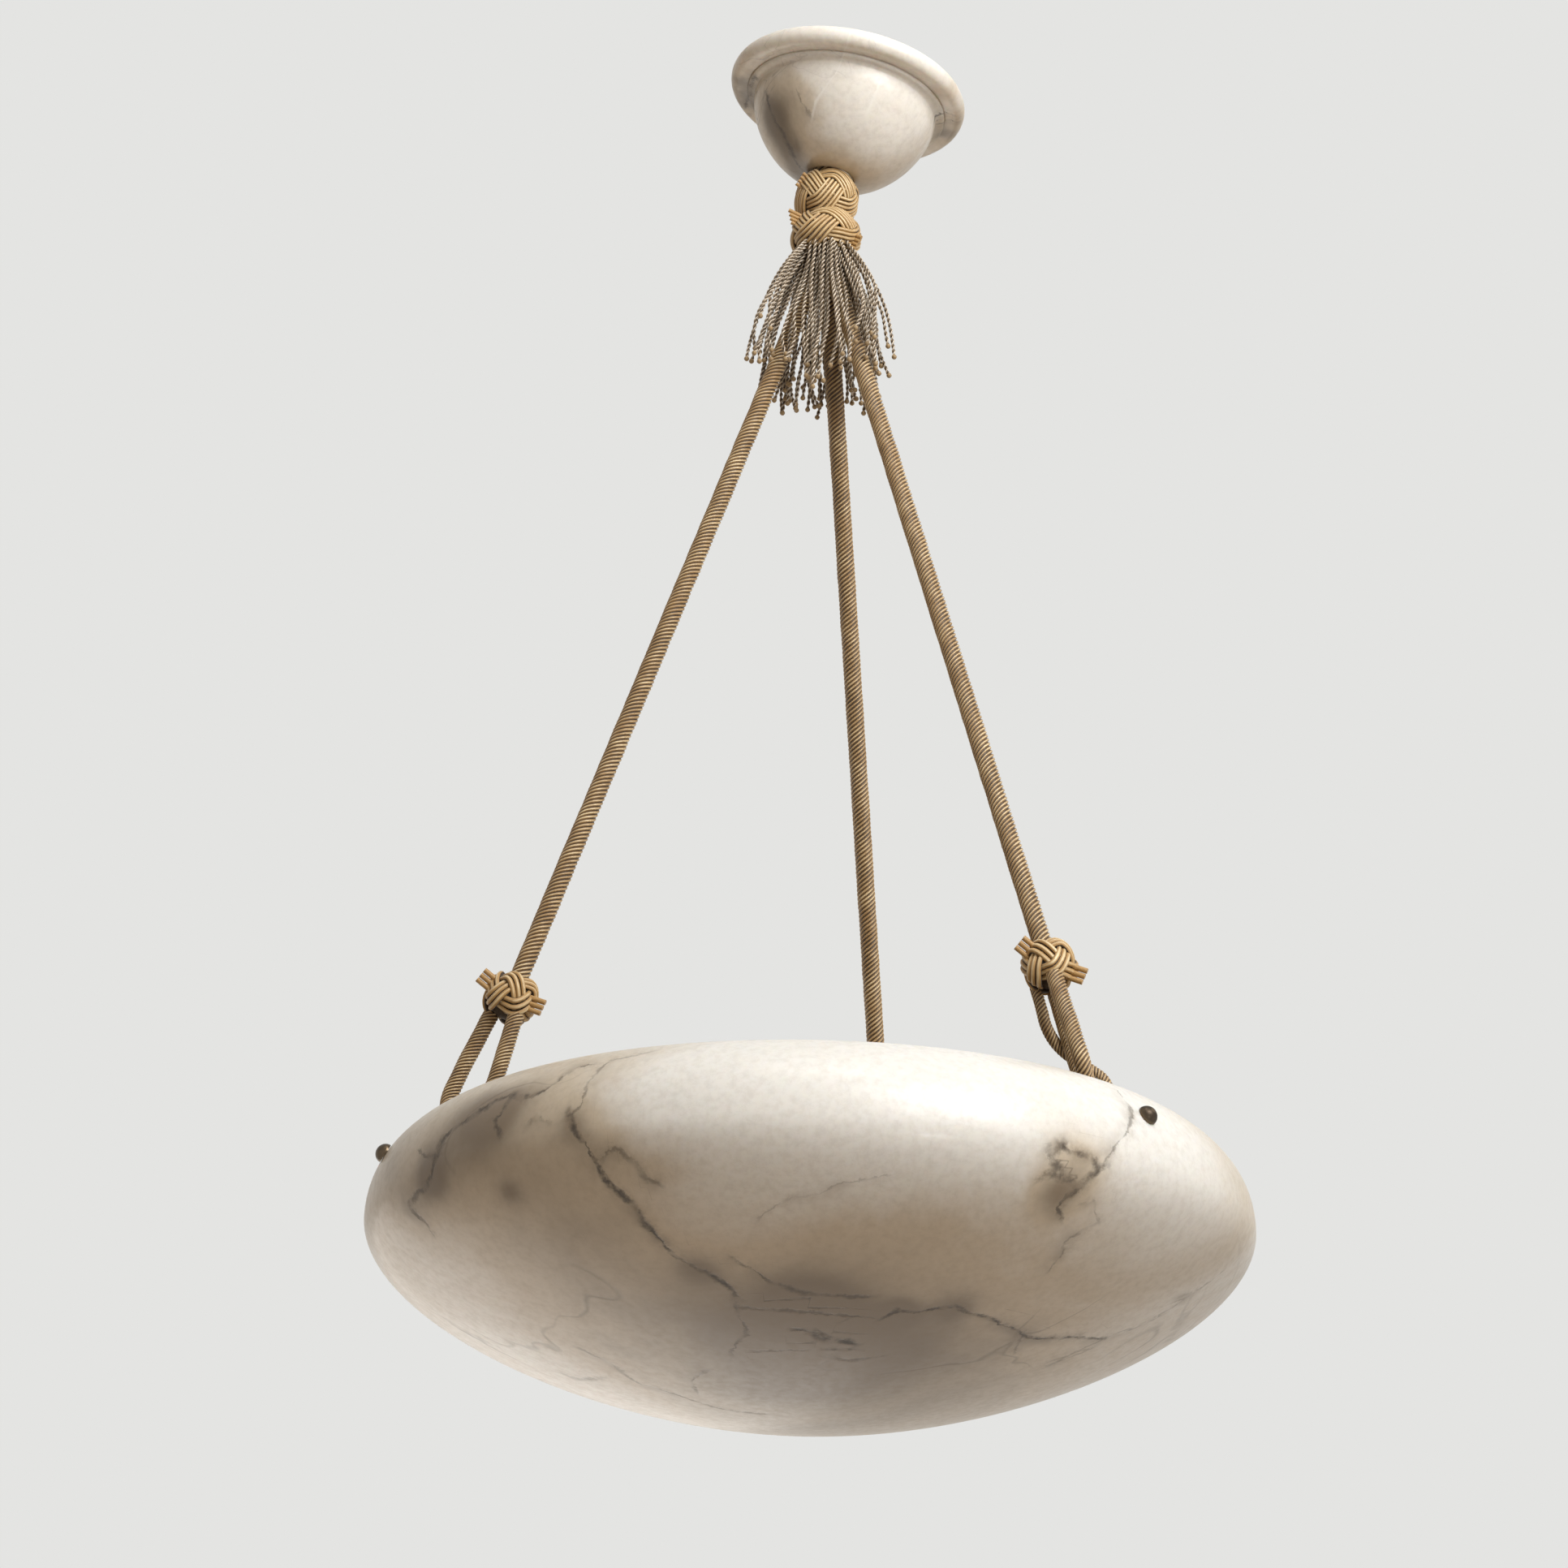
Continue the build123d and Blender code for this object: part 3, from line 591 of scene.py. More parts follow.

# %% [markdown]
# ## Knots
# The knots are Turk's heads: three bands of parallel cords woven over and under round a ball.
# In such a weave the height on the ball is a wave, and the band rises and sinks twice per wave,
# which makes it go over one crossing and under the next. The side cords of a band are turned
# away from the middle one about the ball's middle. A ball inside closes the gaps, painted near
# black as shade.

# %% Turk's head
def turks_head(bights, height, fullness, passes, spacing, lift, spin, seed):
    """Lines on a ball of radius 1. Each is a closed list of points. No cord lies quite true."""
    chance = random.Random(seed)
    laps = 3
    steps = 96 * laps
    middle = []
    for index in range(steps):
        angle = 2 * pi * laps * index / steps
        wave = bights * angle / laps
        rise = height * ((1 - fullness) * cos(wave) + fullness * sin(pi / 2 * cos(wave)))
        around = angle + spin
        point = Vector((cos(rise) * cos(around), cos(rise) * sin(around), sin(rise)))
        middle.append((point, 1 + lift * sin(2 * wave)))
    lines = []
    for number in range(passes):
        aside = (number - (passes - 1) / 2) * spacing
        waves = [(chance.randint(2, 9), chance.uniform(0, 2 * pi)) for _ in range(2)]
        line = []
        for index, (point, far) in enumerate(middle):
            ahead = middle[(index + 1) % steps][0] - middle[index - 1][0]
            side = point.cross(ahead).normalized()
            slack = sum(sin(count * 2 * pi * index / steps + start) for count, start in waves)
            off = aside + slack * 0.06 * spacing
            line.append((point * cos(off) + side * sin(off)) * (far + slack * 0.005))
        lines.append(line)
    return lines


def closed_lines(name, lines):
    data = bpy.data.curves.new(name, "CURVE")
    data.dimensions = "3D"
    for line in lines:
        spline = data.splines.new("POLY")
        spline.points.add(len(line) - 1)
        for target, point in zip(spline.points, line):
            target.co = (*point, 1)
        spline.use_cyclic_u = True
    return add_object(name, data)


print("a ball of three bands can be woven")

# %% [markdown]
# A cord in a knot is a plain round tube. Its crown, the side that faces out of the knot, is
# kept in an attribute, so that the silk gets a painted highlight on top and a painted shade
# where two cords touch. A cut end stands off the knot, so it gets a least value and no painted shade.

# %% Tree: plain cord
def plain_cord_tree():
    tree, given, result = group_tree(
        "plain cord",
        "GeometryNodeTree",
        [
            ("Geometry", "Geometry", None),
            ("Radius", "Float", 0.001),
            ("Step", "Float", 0.001),
            ("Sides", "Int", 10),
            ("Middle", "Vector", (0, 0, 0)),
            ("Least Crown", "Float", -1.0),
            ("Finish", "Material", None),
        ],
        [("Geometry", "Geometry")],
    )
    line = resample(tree, given["Geometry"], given["Step"])
    tube = sweep(tree, line, circle(tree, given["Sides"], given["Radius"]))
    spot = place(tree, "GeometryNodeInputPosition").outputs[0]
    away = vector_calc(tree, "SUBTRACT", {0: spot, 1: given["Middle"]})[0]
    away = vector_calc(tree, "NORMALIZE", {0: away})[0]
    normal = place(tree, "GeometryNodeInputNormal").outputs[0]
    facing = vector_calc(tree, "DOT_PRODUCT", {0: normal, 1: away})["Value"]
    tube = store(tree, tube, "crown", calc(tree, "MAXIMUM", facing, given["Least Crown"]))
    end_tree(tree, tube, given["Finish"], result)
    return tree


plain_cord = plain_cord_tree()
print(f"tree {plain_cord.name} with {len(plain_cord.nodes)} nodes")

# %% Joining and core balls
# The cores are painted near black: a painted shade for the insides of the knots and the tassel.
core_painted_shade, tree, shader = new_finish("core painted shade", Roughness=0.8)
grain = noise(tree, position(tree), 900.0, 3.0)
tree.links.new(blend_colour(tree, grain, (0.018, 0.010, 0.004, 1), (0.06, 0.034, 0.014, 1)), shader["Base Color"])
tree.links.new(bump(tree, grain, 0.5, 0.0003), shader["Normal"])


def core_ball(name, middle, across, height):
    shape = bmesh.new()
    bmesh.ops.create_icosphere(shape, subdivisions=4, radius=1.0)
    bmesh.ops.scale(shape, vec=(across, across, height), verts=shape.verts)
    bmesh.ops.translate(shape, vec=middle, verts=shape.verts)
    ball = finish_mesh(name, shape)
    ball.data.materials.append(core_painted_shade)
    return ball


def join(pieces, name):
    with bpy.context.temp_override(active_object=pieces[0], selected_editable_objects=pieces):
        bpy.ops.object.join()
    pieces[0].name = name
    pieces[0].data.name = name
    return pieces[0]


print("cores ready")

# %% Cord ends that stick out of a knot
def open_lines(name, lines):
    data = bpy.data.curves.new(name, "CURVE")
    data.dimensions = "3D"
    data.resolution_u = 8
    for line in lines:
        spline = data.splines.new("NURBS")
        spline.points.add(len(line) - 1)
        for target, point in zip(spline.points, line):
            target.co = (*point, 1)
        spline.order_u = 3
        spline.use_endpoint_u = True
    return add_object(name, data)


def stubs(middle, radius, bundles, count, spacing, reach):
    """Short cord ends: a bundle is (outward direction, way the ends point, way they spread)."""
    lines = []
    for out, point, spread in bundles:
        out, point, spread = Vector(out).normalized(), Vector(point).normalized(), Vector(spread).normalized()
        for number in range(count):
            aside = spread * (number - (count - 1) / 2) * spacing
            root = middle + out * radius * 0.86 + aside - point * reach * 0.4
            bend = root + point * reach * 0.6 + out * spacing * 0.2
            lines.append([root, bend, root + point * reach + out * spacing * 0.3])
    return lines


print("cord ends ready")

# %% Head knots
def woven_knot(name, node, middle, scale, lines, cord_radius, core, ends):
    """scale maps a point of the unit ball to the knot's own shape."""
    lines = [[middle + scale(point) for point in line] for line in lines]
    loops = closed_lines(name + "_lines", lines)
    values = {"Radius": cord_radius, "Step": cord_radius * 0.7, "Sides": 10, "Middle": middle, "Finish": knot_silk}
    pieces = [grow(loops, plain_cord, name, values)]
    discard(loops)
    short = open_lines(name + "_ends", ends)
    pieces.append(grow(short, plain_cord, name + "_ends", {**values, "Least Crown": 0.72}))
    discard(short)
    pieces.append(core)
    knot = join(pieces, name)
    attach(knot, "suspension")
    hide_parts(node)
    print(f"{name}: {len(lines)} closed lines, {len(knot.data.polygons)} faces")


head_middle = Vector((0, 0, head_z))
head_across = 16.7 * mm
weave = turks_head(
    bights=5, height=radians(38.5), fullness=0.85, passes=6,
    spacing=2.06 / 16.7, lift=1.05 / 16.7, spin=radians(-92), seed=3,
)
bundles = [((-0.74, -0.58, 0.34), (-0.66, -0.35, 0.40), (0.45, -0.30, 0.65))]
ends = stubs(head_middle, 19.5 * mm, bundles, 4, 2.3 * mm, 5 * mm)
woven_knot(
    "head_knot_weave", "head_knot", head_middle, lambda p: p * head_across, weave, 1.03 * mm,
    core_ball("head_core", head_middle, 15.9 * mm, 15.9 * mm), ends,
)

skirt_middle = Vector((0, 0, -119.5 * mm))


def skirt_shape(p):
    wide = (18.4 - 2.6 * p.z) * mm
    return Vector((p.x * wide, p.y * wide, p.z * 14.2 * mm))


weave = turks_head(
    bights=4, height=radians(41), fullness=0.85, passes=6,
    spacing=2.38 / 17.0, lift=1.1 / 17.0, spin=radians(-112), seed=5,
)
bundles = [
    ((0.80, -0.50, -0.45), (0.80, -0.25, -0.55), (0.45, -0.2, 0.85)),
    ((-0.85, -0.45, 0.25), (-0.90, -0.2, 0.35), (-0.2, -0.2, 0.95)),
]
ends = stubs(skirt_middle, 21.5 * mm, bundles, 4, 2.4 * mm, 7 * mm)
woven_knot(
    "skirt_knot_weave", "skirt_knot", skirt_middle, skirt_shape, weave, 1.13 * mm,
    core_ball("skirt_core", skirt_middle, 17.0 * mm, 12.8 * mm), ends,
)

# %% Loop knots
for name, angle in rope_turns.items():
    middle = turned(knot_middle, angle)
    across = turned(loop_side, angle)
    up = turned(rope_up, angle)
    stand = Matrix((across, up.cross(across), up)).transposed()
    weave = turks_head(
        bights=5, height=radians(38.5), fullness=0.85, passes=3,
        spacing=2.85 / 12.0, lift=1.4 / 12.0, spin=radians(20), seed=7,
    )
    side = -1 if name == "back" else 1
    ends = stubs(
        middle, 15.5 * mm,
        [
            ((-0.76, -0.45 * side, 0.46), (-0.78, -0.2 * side, 0.6), (0.62, -0.2 * side, 0.75)),
            ((0.84, -0.40 * side, -0.36), (0.92, -0.1 * side, -0.35), (0.40, -0.1 * side, 0.9)),
        ],
        3, 3.0 * mm, 9 * mm,
    )
    woven_knot(
        f"loop_knot_{name}_weave", f"loop_knot_{name}", middle,
        lambda p, stand=stand: stand @ p * 12.0 * mm, weave, 1.38 * mm,
        core_ball(f"loop_core_{name}", middle, 11.4 * mm, 11.4 * mm), ends,
    )

# %% [markdown]
# ## Tassel
# The tassel's strands are two plies twisted together. They leave the lower knot all round.
# Those over a cord fall outwards along it, and those between two cords hang straighter. The
# inner ones are shorter and a few stray. The tree turns a two-lobed outline along each strand,
# which gives the twist for few faces, and sets a small knot on each free end. The strands'
# lines are drawn here with a fixed seed.

# %% Tree: twisted strand
def strand_tree():
    tree, given, result = group_tree(
        "twisted strand",
        "GeometryNodeTree",
        [
            ("Geometry", "Geometry", None),
            ("Radius", "Float", 0.0011),
            ("Twist Pitch", "Float", 0.0034),
            ("Step", "Float", 0.0008),
            ("Knot Radius", "Float", 0.0016),
            ("Finish", "Material", None),
        ],
        [("Geometry", "Geometry")],
    )
    line = resample(tree, given["Geometry"], given["Step"])
    along = place(tree, "GeometryNodeSplineParameter").outputs["Length"]
    turn = calc(tree, "MULTIPLY", calc(tree, "DIVIDE", along, given["Twist Pitch"]), pi)
    line = place(tree, "GeometryNodeSetCurveTilt", {}, {"Curve": line, "Tilt": turn}).outputs[0]
    spot = place(tree, "GeometryNodeInputPosition").outputs[0]
    apart = place(tree, "ShaderNodeSeparateXYZ", {}, {0: spot}).outputs
    lobe = calc(tree, "ABSOLUTE", calc(tree, "DIVIDE", apart[0], given["Radius"]))
    narrow = calc(tree, "MULTIPLY_ADD", lobe, 0.30, 0.42)
    pinched = place(tree, "ShaderNodeCombineXYZ", {}, {0: apart[0], 1: calc(tree, "MULTIPLY", apart[1], narrow)})
    # `ply` is a lobe's height. From it the silk paints shade in the waist between the plies and a silvery highlight
    # on the lobes.
    ring = store(tree, circle(tree, 8, given["Radius"]), "ply", calc(tree, "POWER", lobe, 0.7))
    ring = place(tree, "GeometryNodeSetPosition", {}, {"Geometry": ring, "Position": pinched.outputs[0]})
    tube = sweep(tree, line, ring.outputs[0])
    tip = place(tree, "GeometryNodeCurveEndpointSelection", {}, {"Start Size": 0, "End Size": 1}).outputs[0]
    bead = place(tree, "GeometryNodeMeshUVSphere", {}, {"Segments": 8, "Rings": 6, "Radius": given["Knot Radius"]})
    bead = store(tree, bead.outputs[0], "ply", 0.62)
    beads = place(tree, "GeometryNodeInstanceOnPoints", {}, {"Points": line, "Selection": tip, "Instance": bead})
    both = place(tree, "GeometryNodeJoinGeometry")
    tree.links.new(tube, both.inputs[0])
    tree.links.new(beads.outputs[0], both.inputs[0])
    end_tree(tree, both.outputs[0], given["Finish"], result)
    return tree


twisted_strand = strand_tree()
print(f"tree {twisted_strand.name} with {len(twisted_strand.nodes)} nodes")

# %% Tassel strands
chance = random.Random(7)
strands = []
strand_total = 104
tassel_top = skirt_bottom_z / mm + 2.5
golden_share = 0.618034
first_turn = radians(rope_turns["back"])
for number in range(strand_total):
    turn = first_turn + 2 * pi * (number * golden_share % 1)
    layer = number / strand_total
    over_cord = (1 + cos(3 * (turn - first_turn))) / 2
    reach = (28 + 18 * over_cord) * (0.62 + 0.38 * layer) + chance.uniform(-3, 4)
    drop = (102 - 26 * over_cord * layer - 16 * chance.random()) * (0.86 + 0.14 * layer)
    if number % 17 == 16:
        reach += 12
        drop -= 12
    top = 7 + 9.5 * layer
    out = Vector((cos(turn), sin(turn), 0))
    drift = Vector((-sin(turn), cos(turn), 0)) * chance.uniform(-7, 7)
    bow = chance.uniform(-0.10, 0.12)
    line = []
    for share, wide in ((0, 0), (0.06, 0.1), (0.3, 0.42 + bow), (0.62, 0.78 + bow), (0.86, 0.95), (1, 1)):
        sway = drift * share * share
        sway += Vector([chance.uniform(-3, 3) * min(share * 2, 1) for _ in range(3)])
        radius = top + (reach - top) * wide
        line.append((out * radius + sway + Vector((0, 0, tassel_top - drop * share))) * mm)
    strands.append(line)
lines = open_lines("tassel_lines", strands)
values = {
    "Radius": 1.1 * mm, "Twist Pitch": 3.4 * mm, "Step": 0.85 * mm, "Knot Radius": 1.45 * mm, "Finish": tassel_silk,
}
tassel = grow(lines, twisted_strand, "tassel_strands", values)
discard(lines)
# This near-black ball among the strands' tops paints the shade inside the tassel.
core = core_ball("tassel_core", Vector((0, 0, -138 * mm)), 13.5 * mm, 9 * mm)
tassel = join([tassel, core], "tassel_strands")
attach(tassel, "suspension")
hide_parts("tassel")
print(f"tassel: {strand_total} strands, {len(tassel.data.polygons)} faces")

# %% [markdown]
# ## The stone
# Alabaster is a cloudy, waxy stone with a soft polish. Light goes a little way in, so its edges
# look warm. Its dark veins are wandering cracks with a stain beside them. The veins that the
# picture shows are laid on the stone as lines. Each point of the mesh keeps its signed distance
# to the nearest line, its strength and its width, and the shader draws the vein from these, so
# it is far finer than the mesh. Noise bends and breaks the line, and adds faint veins of its
# own on the sides that the picture doesn't show.

# %% The bowl's form
middle = (lip_out + lip_in) / 2
inner_radius = bowl_radius - bowl_wall
inner_depth = bowl_depth - bowl_wall
outline = bezier(
    (0, bowl_z - bowl_depth),
    (bowl_radius * bowl_fullness, bowl_z - bowl_depth),
    (bowl_radius, bowl_z - bowl_depth * bowl_fullness),
    (bowl_radius, bowl_z),
    56,
)
outline += bezier(
    (bowl_radius, bowl_z), (bowl_radius, bowl_z + shoulder_pull), lip_out - lip_run * shoulder_reach, lip_out, 18
)
for index in range(8):
    angle = pi * index / 8
    outline.append(middle + (lip_out - middle) * cos(angle) + lip_run * lip_thickness / 2 * sin(angle))
outline += bezier(
    lip_in,
    lip_in - lip_run * shoulder_reach * 0.8,
    (inner_radius, bowl_z + shoulder_pull * 0.83),
    (inner_radius, bowl_z),
    12,
)
outline += bezier(
    (inner_radius, bowl_z),
    (inner_radius, bowl_z - inner_depth * bowl_fullness),
    (inner_radius * bowl_fullness, bowl_z - inner_depth),
    (0, bowl_z - inner_depth),
    28,
)
outline.append(Vector((0, bowl_z - inner_depth)))
shape, rings = lathe("bowl", outline, 384)
bowl = finish_mesh("bowl_stone", shape)
print(f"bowl_stone: {len(bowl.data.polygons)} faces")

# %% [markdown]
# A place in the picture is turned into a place on the stone by a ray from the camera. The
# numbers below were read from the picture, along each vein.

# %% From the picture onto the stone
def stone_finder(thing):
    return BVHTree.FromObject(thing, bpy.context.evaluated_depsgraph_get())


def on_stone(finder, x, y):
    aim = forward * focus + camera_right * (x - picture / 2) - camera_up * (y - picture / 2)
    hit, normal, face, far = finder.ray_cast(camera_place, aim.normalized())
    return hit, normal


def lay_veins(thing, finder, name, veins, spread):
    """Each vein is (strength, half width in mm, points). Its values go in attribute `name`."""
    samples = []
    for strength, width, points in veins:
        hits = [on_stone(finder, x, y) for x, y in points]
        hits = [(hit, normal) for hit, normal in hits if hit is not None]
        for (a, up_a), (b, up_b) in zip(hits, hits[1:]):
            count = max(2, int((b - a).length / (1.0 * mm)))
            side = (b - a).normalized().cross(up_a + up_b).normalized()
            for step in range(count):
                samples.append((a.lerp(b, step / count), side, strength, width))
        samples.append((hits[-1][0], side, strength, width))
    tree = KDTree(len(samples))
    for index, (spot, *_) in enumerate(samples):
        tree.insert(spot, index)
    tree.balance()
    values = thing.data.attributes.new(name, "FLOAT_VECTOR", "POINT")
    for vertex, value in zip(thing.data.vertices, values.data):
        spot, index, far = tree.find(vertex.co)
        if far > spread:
            value.vector = (99, 0, 1)
            continue
        _, side, strength, width = samples[index]
        beside = (vertex.co - spot).dot(side)
        past = sqrt(max(0.0, far * far - beside * beside))
        fade = max(0.0, 1 - (far / spread) ** 2) * max(0.0, 1 - past / (6 * mm))
        value.vector = (beside / mm, strength * fade, width)


finder = stone_finder(bowl)
print("bowl's middle in the picture lies at", on_stone(finder, 966, 1560)[0])

# %% Veins of the bowl
first_veins = [
    (0.95, 0.9, (
        (702, 1374), (706, 1392), (715, 1405), (726, 1415), (736, 1435), (747, 1455), (765, 1471), (783, 1489),
        (794, 1506), (811, 1526), (826, 1542), (844, 1555), (861, 1564), (883, 1574), (895, 1583), (908, 1596),
    )),
    (0.85, 1.0, (
        (726, 1312), (711, 1315), (697, 1324), (690, 1331), (676, 1340), (661, 1349), (640, 1355), (629, 1351),
        (611, 1355), (602, 1364), (583, 1374), (565, 1385), (554, 1396), (544, 1406), (540, 1421), (535, 1431),
        (531, 1453), (526, 1455),
    )),
    (0.6, 0.5, (
        (1361, 1332), (1380, 1347), (1391, 1364), (1392, 1382), (1385, 1401), (1372, 1412), (1367, 1423),
        (1357, 1439),
    )),
    (0.9, 0.8, (
        (1091, 1623), (1106, 1615), (1128, 1617), (1154, 1611), (1176, 1611), (1195, 1619), (1217, 1623),
        (1235, 1632), (1254, 1639), (1261, 1645), (1276, 1650), (1298, 1650), (1324, 1647), (1357, 1650),
    )),
]
second_veins = [
    (0.5, 0.5, (
        (702, 1374), (717, 1364), (719, 1349), (726, 1331), (740, 1317), (751, 1308), (772, 1303), (797, 1297),
    )),
    (0.5, 0.8, ((747, 1424), (754, 1414), (769, 1424), (783, 1435), (797, 1453), (808, 1458))),
    (0.8, 1.2, ((629, 1356), (618, 1371), (608, 1383), (615, 1397))),
    (0.7, 0.9, ((526, 1460), (515, 1474), (502, 1485), (515, 1499), (526, 1508), (531, 1517))),
    (0.8, 1.1, (
        (1309, 1412), (1294, 1423), (1306, 1441), (1317, 1456), (1328, 1465), (1313, 1473),
        (1302, 1487), (1307, 1500),
    )),
    (0.7, 0.9, (
        (904, 1551), (919, 1560), (940, 1574), (954, 1581), (983, 1592), (1017, 1595), (1043, 1598), (1069, 1597),
    )),
    (0.45, 0.7, (
        (719, 1664), (754, 1681), (783, 1703), (819, 1714), (851, 1724), (876, 1733), (904, 1739), (940, 1742),
    )),
    (0.6, 0.8, ((915, 1612), (933, 1614), (980, 1615), (1024, 1619), (1061, 1621))),
]
third_veins = [
    (0.8, 1.0, ((1309, 1412), (1328, 1425), (1346, 1428), (1359, 1441), (1341, 1452), (1328, 1465))),
    (0.7, 0.9, ((1285, 1451), (1296, 1445), (1306, 1452))),
    (0.5, 0.4, ((1333, 1517), (1315, 1526), (1306, 1549), (1294, 1563))),
    (0.45, 0.4, ((1339, 1484), (1348, 1482), (1354, 1500))),
    (0.6, 0.8, ((540, 1422), (526, 1426), (517, 1419))),
    (0.5, 0.6, ((904, 1596), (908, 1617), (922, 1642), (904, 1656), (901, 1671))),
    (1.0, 2.0, ((984, 1639), (998, 1641), (1017, 1648), (1050, 1656))),
    (0.5, 0.8, ((929, 1665), (954, 1665), (986, 1664))),
    (0.5, 0.6, ((869, 1690), (851, 1701), (858, 1714))),
    (0.4, 1.4, ((697, 1694), (711, 1699), (747, 1698))),
    (0.45, 0.5, ((1261, 1645), (1254, 1656), (1250, 1665))),
    (0.30, 0.35, ((933, 1506), (951, 1489), (972, 1478), (1002, 1471), (1032, 1462), (1058, 1454), (1087, 1449))),
    (0.35, 0.5, ((1294, 1678), (1331, 1663), (1380, 1641), (1417, 1626), (1461, 1600), (1505, 1567))),
    (0.4, 0.8, ((654, 1385), (661, 1378), (672, 1383))),
    (0.4, 0.5, ((1292, 1683), (1312, 1674), (1345, 1661))),
    (0.4, 0.5, ((1378, 1644), (1400, 1636), (1432, 1620))),
    (0.4, 0.5, ((1452, 1599), (1470, 1592), (1484, 1583))),
    (0.4, 0.8, ((1040, 1626), (1055, 1620), (1075, 1624))),
    (0.5, 1.0, ((1020, 1672), (1048, 1676), (1080, 1672))),
]
for name, veins in (("vein_a", first_veins), ("vein_b", second_veins), ("vein_c", third_veins)):
    lay_veins(bowl, finder, name, veins, spread=14 * mm)
print(f"{len(first_veins) + len(second_veins) + len(third_veins)} veins laid on the bowl")

# %% [markdown]
# The broad tones are soft patches: each is a place, a size and a push towards brown,
# or towards white where the number is negative. Their sum goes in attribute `tone`. The small
# ones are the stone's stains; the wide ones are partly its own tone and partly painted light
# and shade, whiter where the light falls and browner below.

# %% Patches of the stone
def lay_tones(thing, finder, patches):
    spots = []
    for x, y, wide, amount in patches:
        hit, normal = on_stone(finder, x, y)
        if hit is not None:
            spots.append((hit, wide * mm, amount))
    values = thing.data.attributes.new("tone", "FLOAT", "POINT")
    for vertex, value in zip(thing.data.vertices, values.data):
        total = 0.0
        for spot, wide, amount in spots:
            far = (vertex.co - spot).length / wide
            if far < 2.5:
                total += amount * 2.718 ** (-far * far)
        value.value = total


# Small patches mark stains near the veins. The wide white ones on the upper bowl and along the lower left edge are
# partly painted light, and the wide brown ones low on the bowl partly painted shade, over the stone's own tone.
bowl_tones_and_painted_light = [
    (900, 1680, 130, 0.40), (1100, 1640, 110, 0.30), (700, 1520, 60, 0.12), (640, 1430, 40, 0.22),
    (560, 1560, 50, -0.30), (640, 1660, 55, -0.35), (780, 1730, 50, -0.25), (1420, 1620, 50, -0.1),
    (1180, 1330, 110, -0.45), (1440, 1430, 70, -0.40), (960, 1350, 90, -0.30), (820, 1370, 50, -0.20),
    (531, 1453, 13, 0.75), (861, 1564, 12, 0.45), (629, 1469, 7, 0.40), (1303, 1470, 12, 0.60),
    (1328, 1438, 16, 0.30), (998, 1641, 18, 0.50), (1176, 1613, 12, 0.40), (706, 1388, 10, 0.50),
    (608, 1378, 16, 0.55), (560, 1410, 22, 0.40), (740, 1425, 12, 0.35), (800, 1440, 16, 0.25),
    (1010, 1600, 30, 0.25), (1040, 1690, 40, 0.25), (1240, 1520, 40, 0.12), (510, 1490, 16, 0.4),
    (1010, 1650, 24, 0.60), (1000, 1608, 20, 0.45), (1108, 1617, 10, 0.6), (965, 1667, 20, 0.3),
    (480, 1440, 22, 0.30), (590, 1360, 14, 0.35), (1050, 1500, 34, 0.12), (770, 1500, 14, 0.2),
    (640, 1350, 16, 0.35), (905, 1650, 20, 0.3), (1340, 1400, 30, 0.12), (1260, 1645, 12, 0.3),
]
lay_tones(bowl, finder, bowl_tones_and_painted_light)
print(f"{len(bowl_tones_and_painted_light)} patches laid on the bowl")

# %% Shared group: a laid vein
def vein_tree():
    tree, given, result = group_tree(
        "laid vein",
        "ShaderNodeTree",
        [("Vein", "Vector", (99, 0, 1)), ("Wander", "Float", 1.2), ("Break", "Float", 0.2)],
        [("Core", "Float"), ("Stain", "Float")],
    )
    where = position(tree)
    values = place(tree, "ShaderNodeSeparateXYZ", {}, {0: given["Vein"]}).outputs
    coarse = calc(tree, "SUBTRACT", noise(tree, where, 90.0, 4.0, 0.65), 0.5)
    fine = calc(tree, "SUBTRACT", noise(tree, where, 480.0, 3.0, 0.6), 0.5)
    bend = calc(tree, "ADD", calc(tree, "MULTIPLY", coarse, 5.5), calc(tree, "MULTIPLY", fine, 2.4))
    bend = calc(tree, "MULTIPLY", bend, given["Wander"])
    beside = calc(tree, "ADD", values[0], bend)
    swell = ramp(tree, noise(tree, where, 60.0, 2.0, 0.6), 0.30, 0.72, 0.55, 2.9)
    off = calc(tree, "DIVIDE", calc(tree, "ABSOLUTE", beside), calc(tree, "MULTIPLY", values[2], swell))
    broken = ramp(tree, noise(tree, where, 130.0, 3.0, 0.6), 0.32, 0.62, given["Break"], 1.0)
    core = calc(tree, "MULTIPLY", ramp(tree, off, 0.1, 1.5, 1.0, 0.0), broken)
    tree.links.new(calc(tree, "MULTIPLY", core, values[1]), result["Core"])
    cloud = ramp(tree, noise(tree, where, 45.0, 5.0, 0.62), 0.36, 0.68)
    one_side = ramp(tree, beside, -7.0, 1.0, 0.25, 1.0)
    near = ramp(tree, calc(tree, "ABSOLUTE", beside), 0.3, 10.5, 1.0, 0.0)
    stain = calc(tree, "MULTIPLY", near, calc(tree, "MULTIPLY", cloud, one_side))
    tree.links.new(calc(tree, "MULTIPLY", stain, values[1]), result["Stain"])
    return tree


laid_vein = vein_tree()
print(f"group {laid_vein.name} ready")

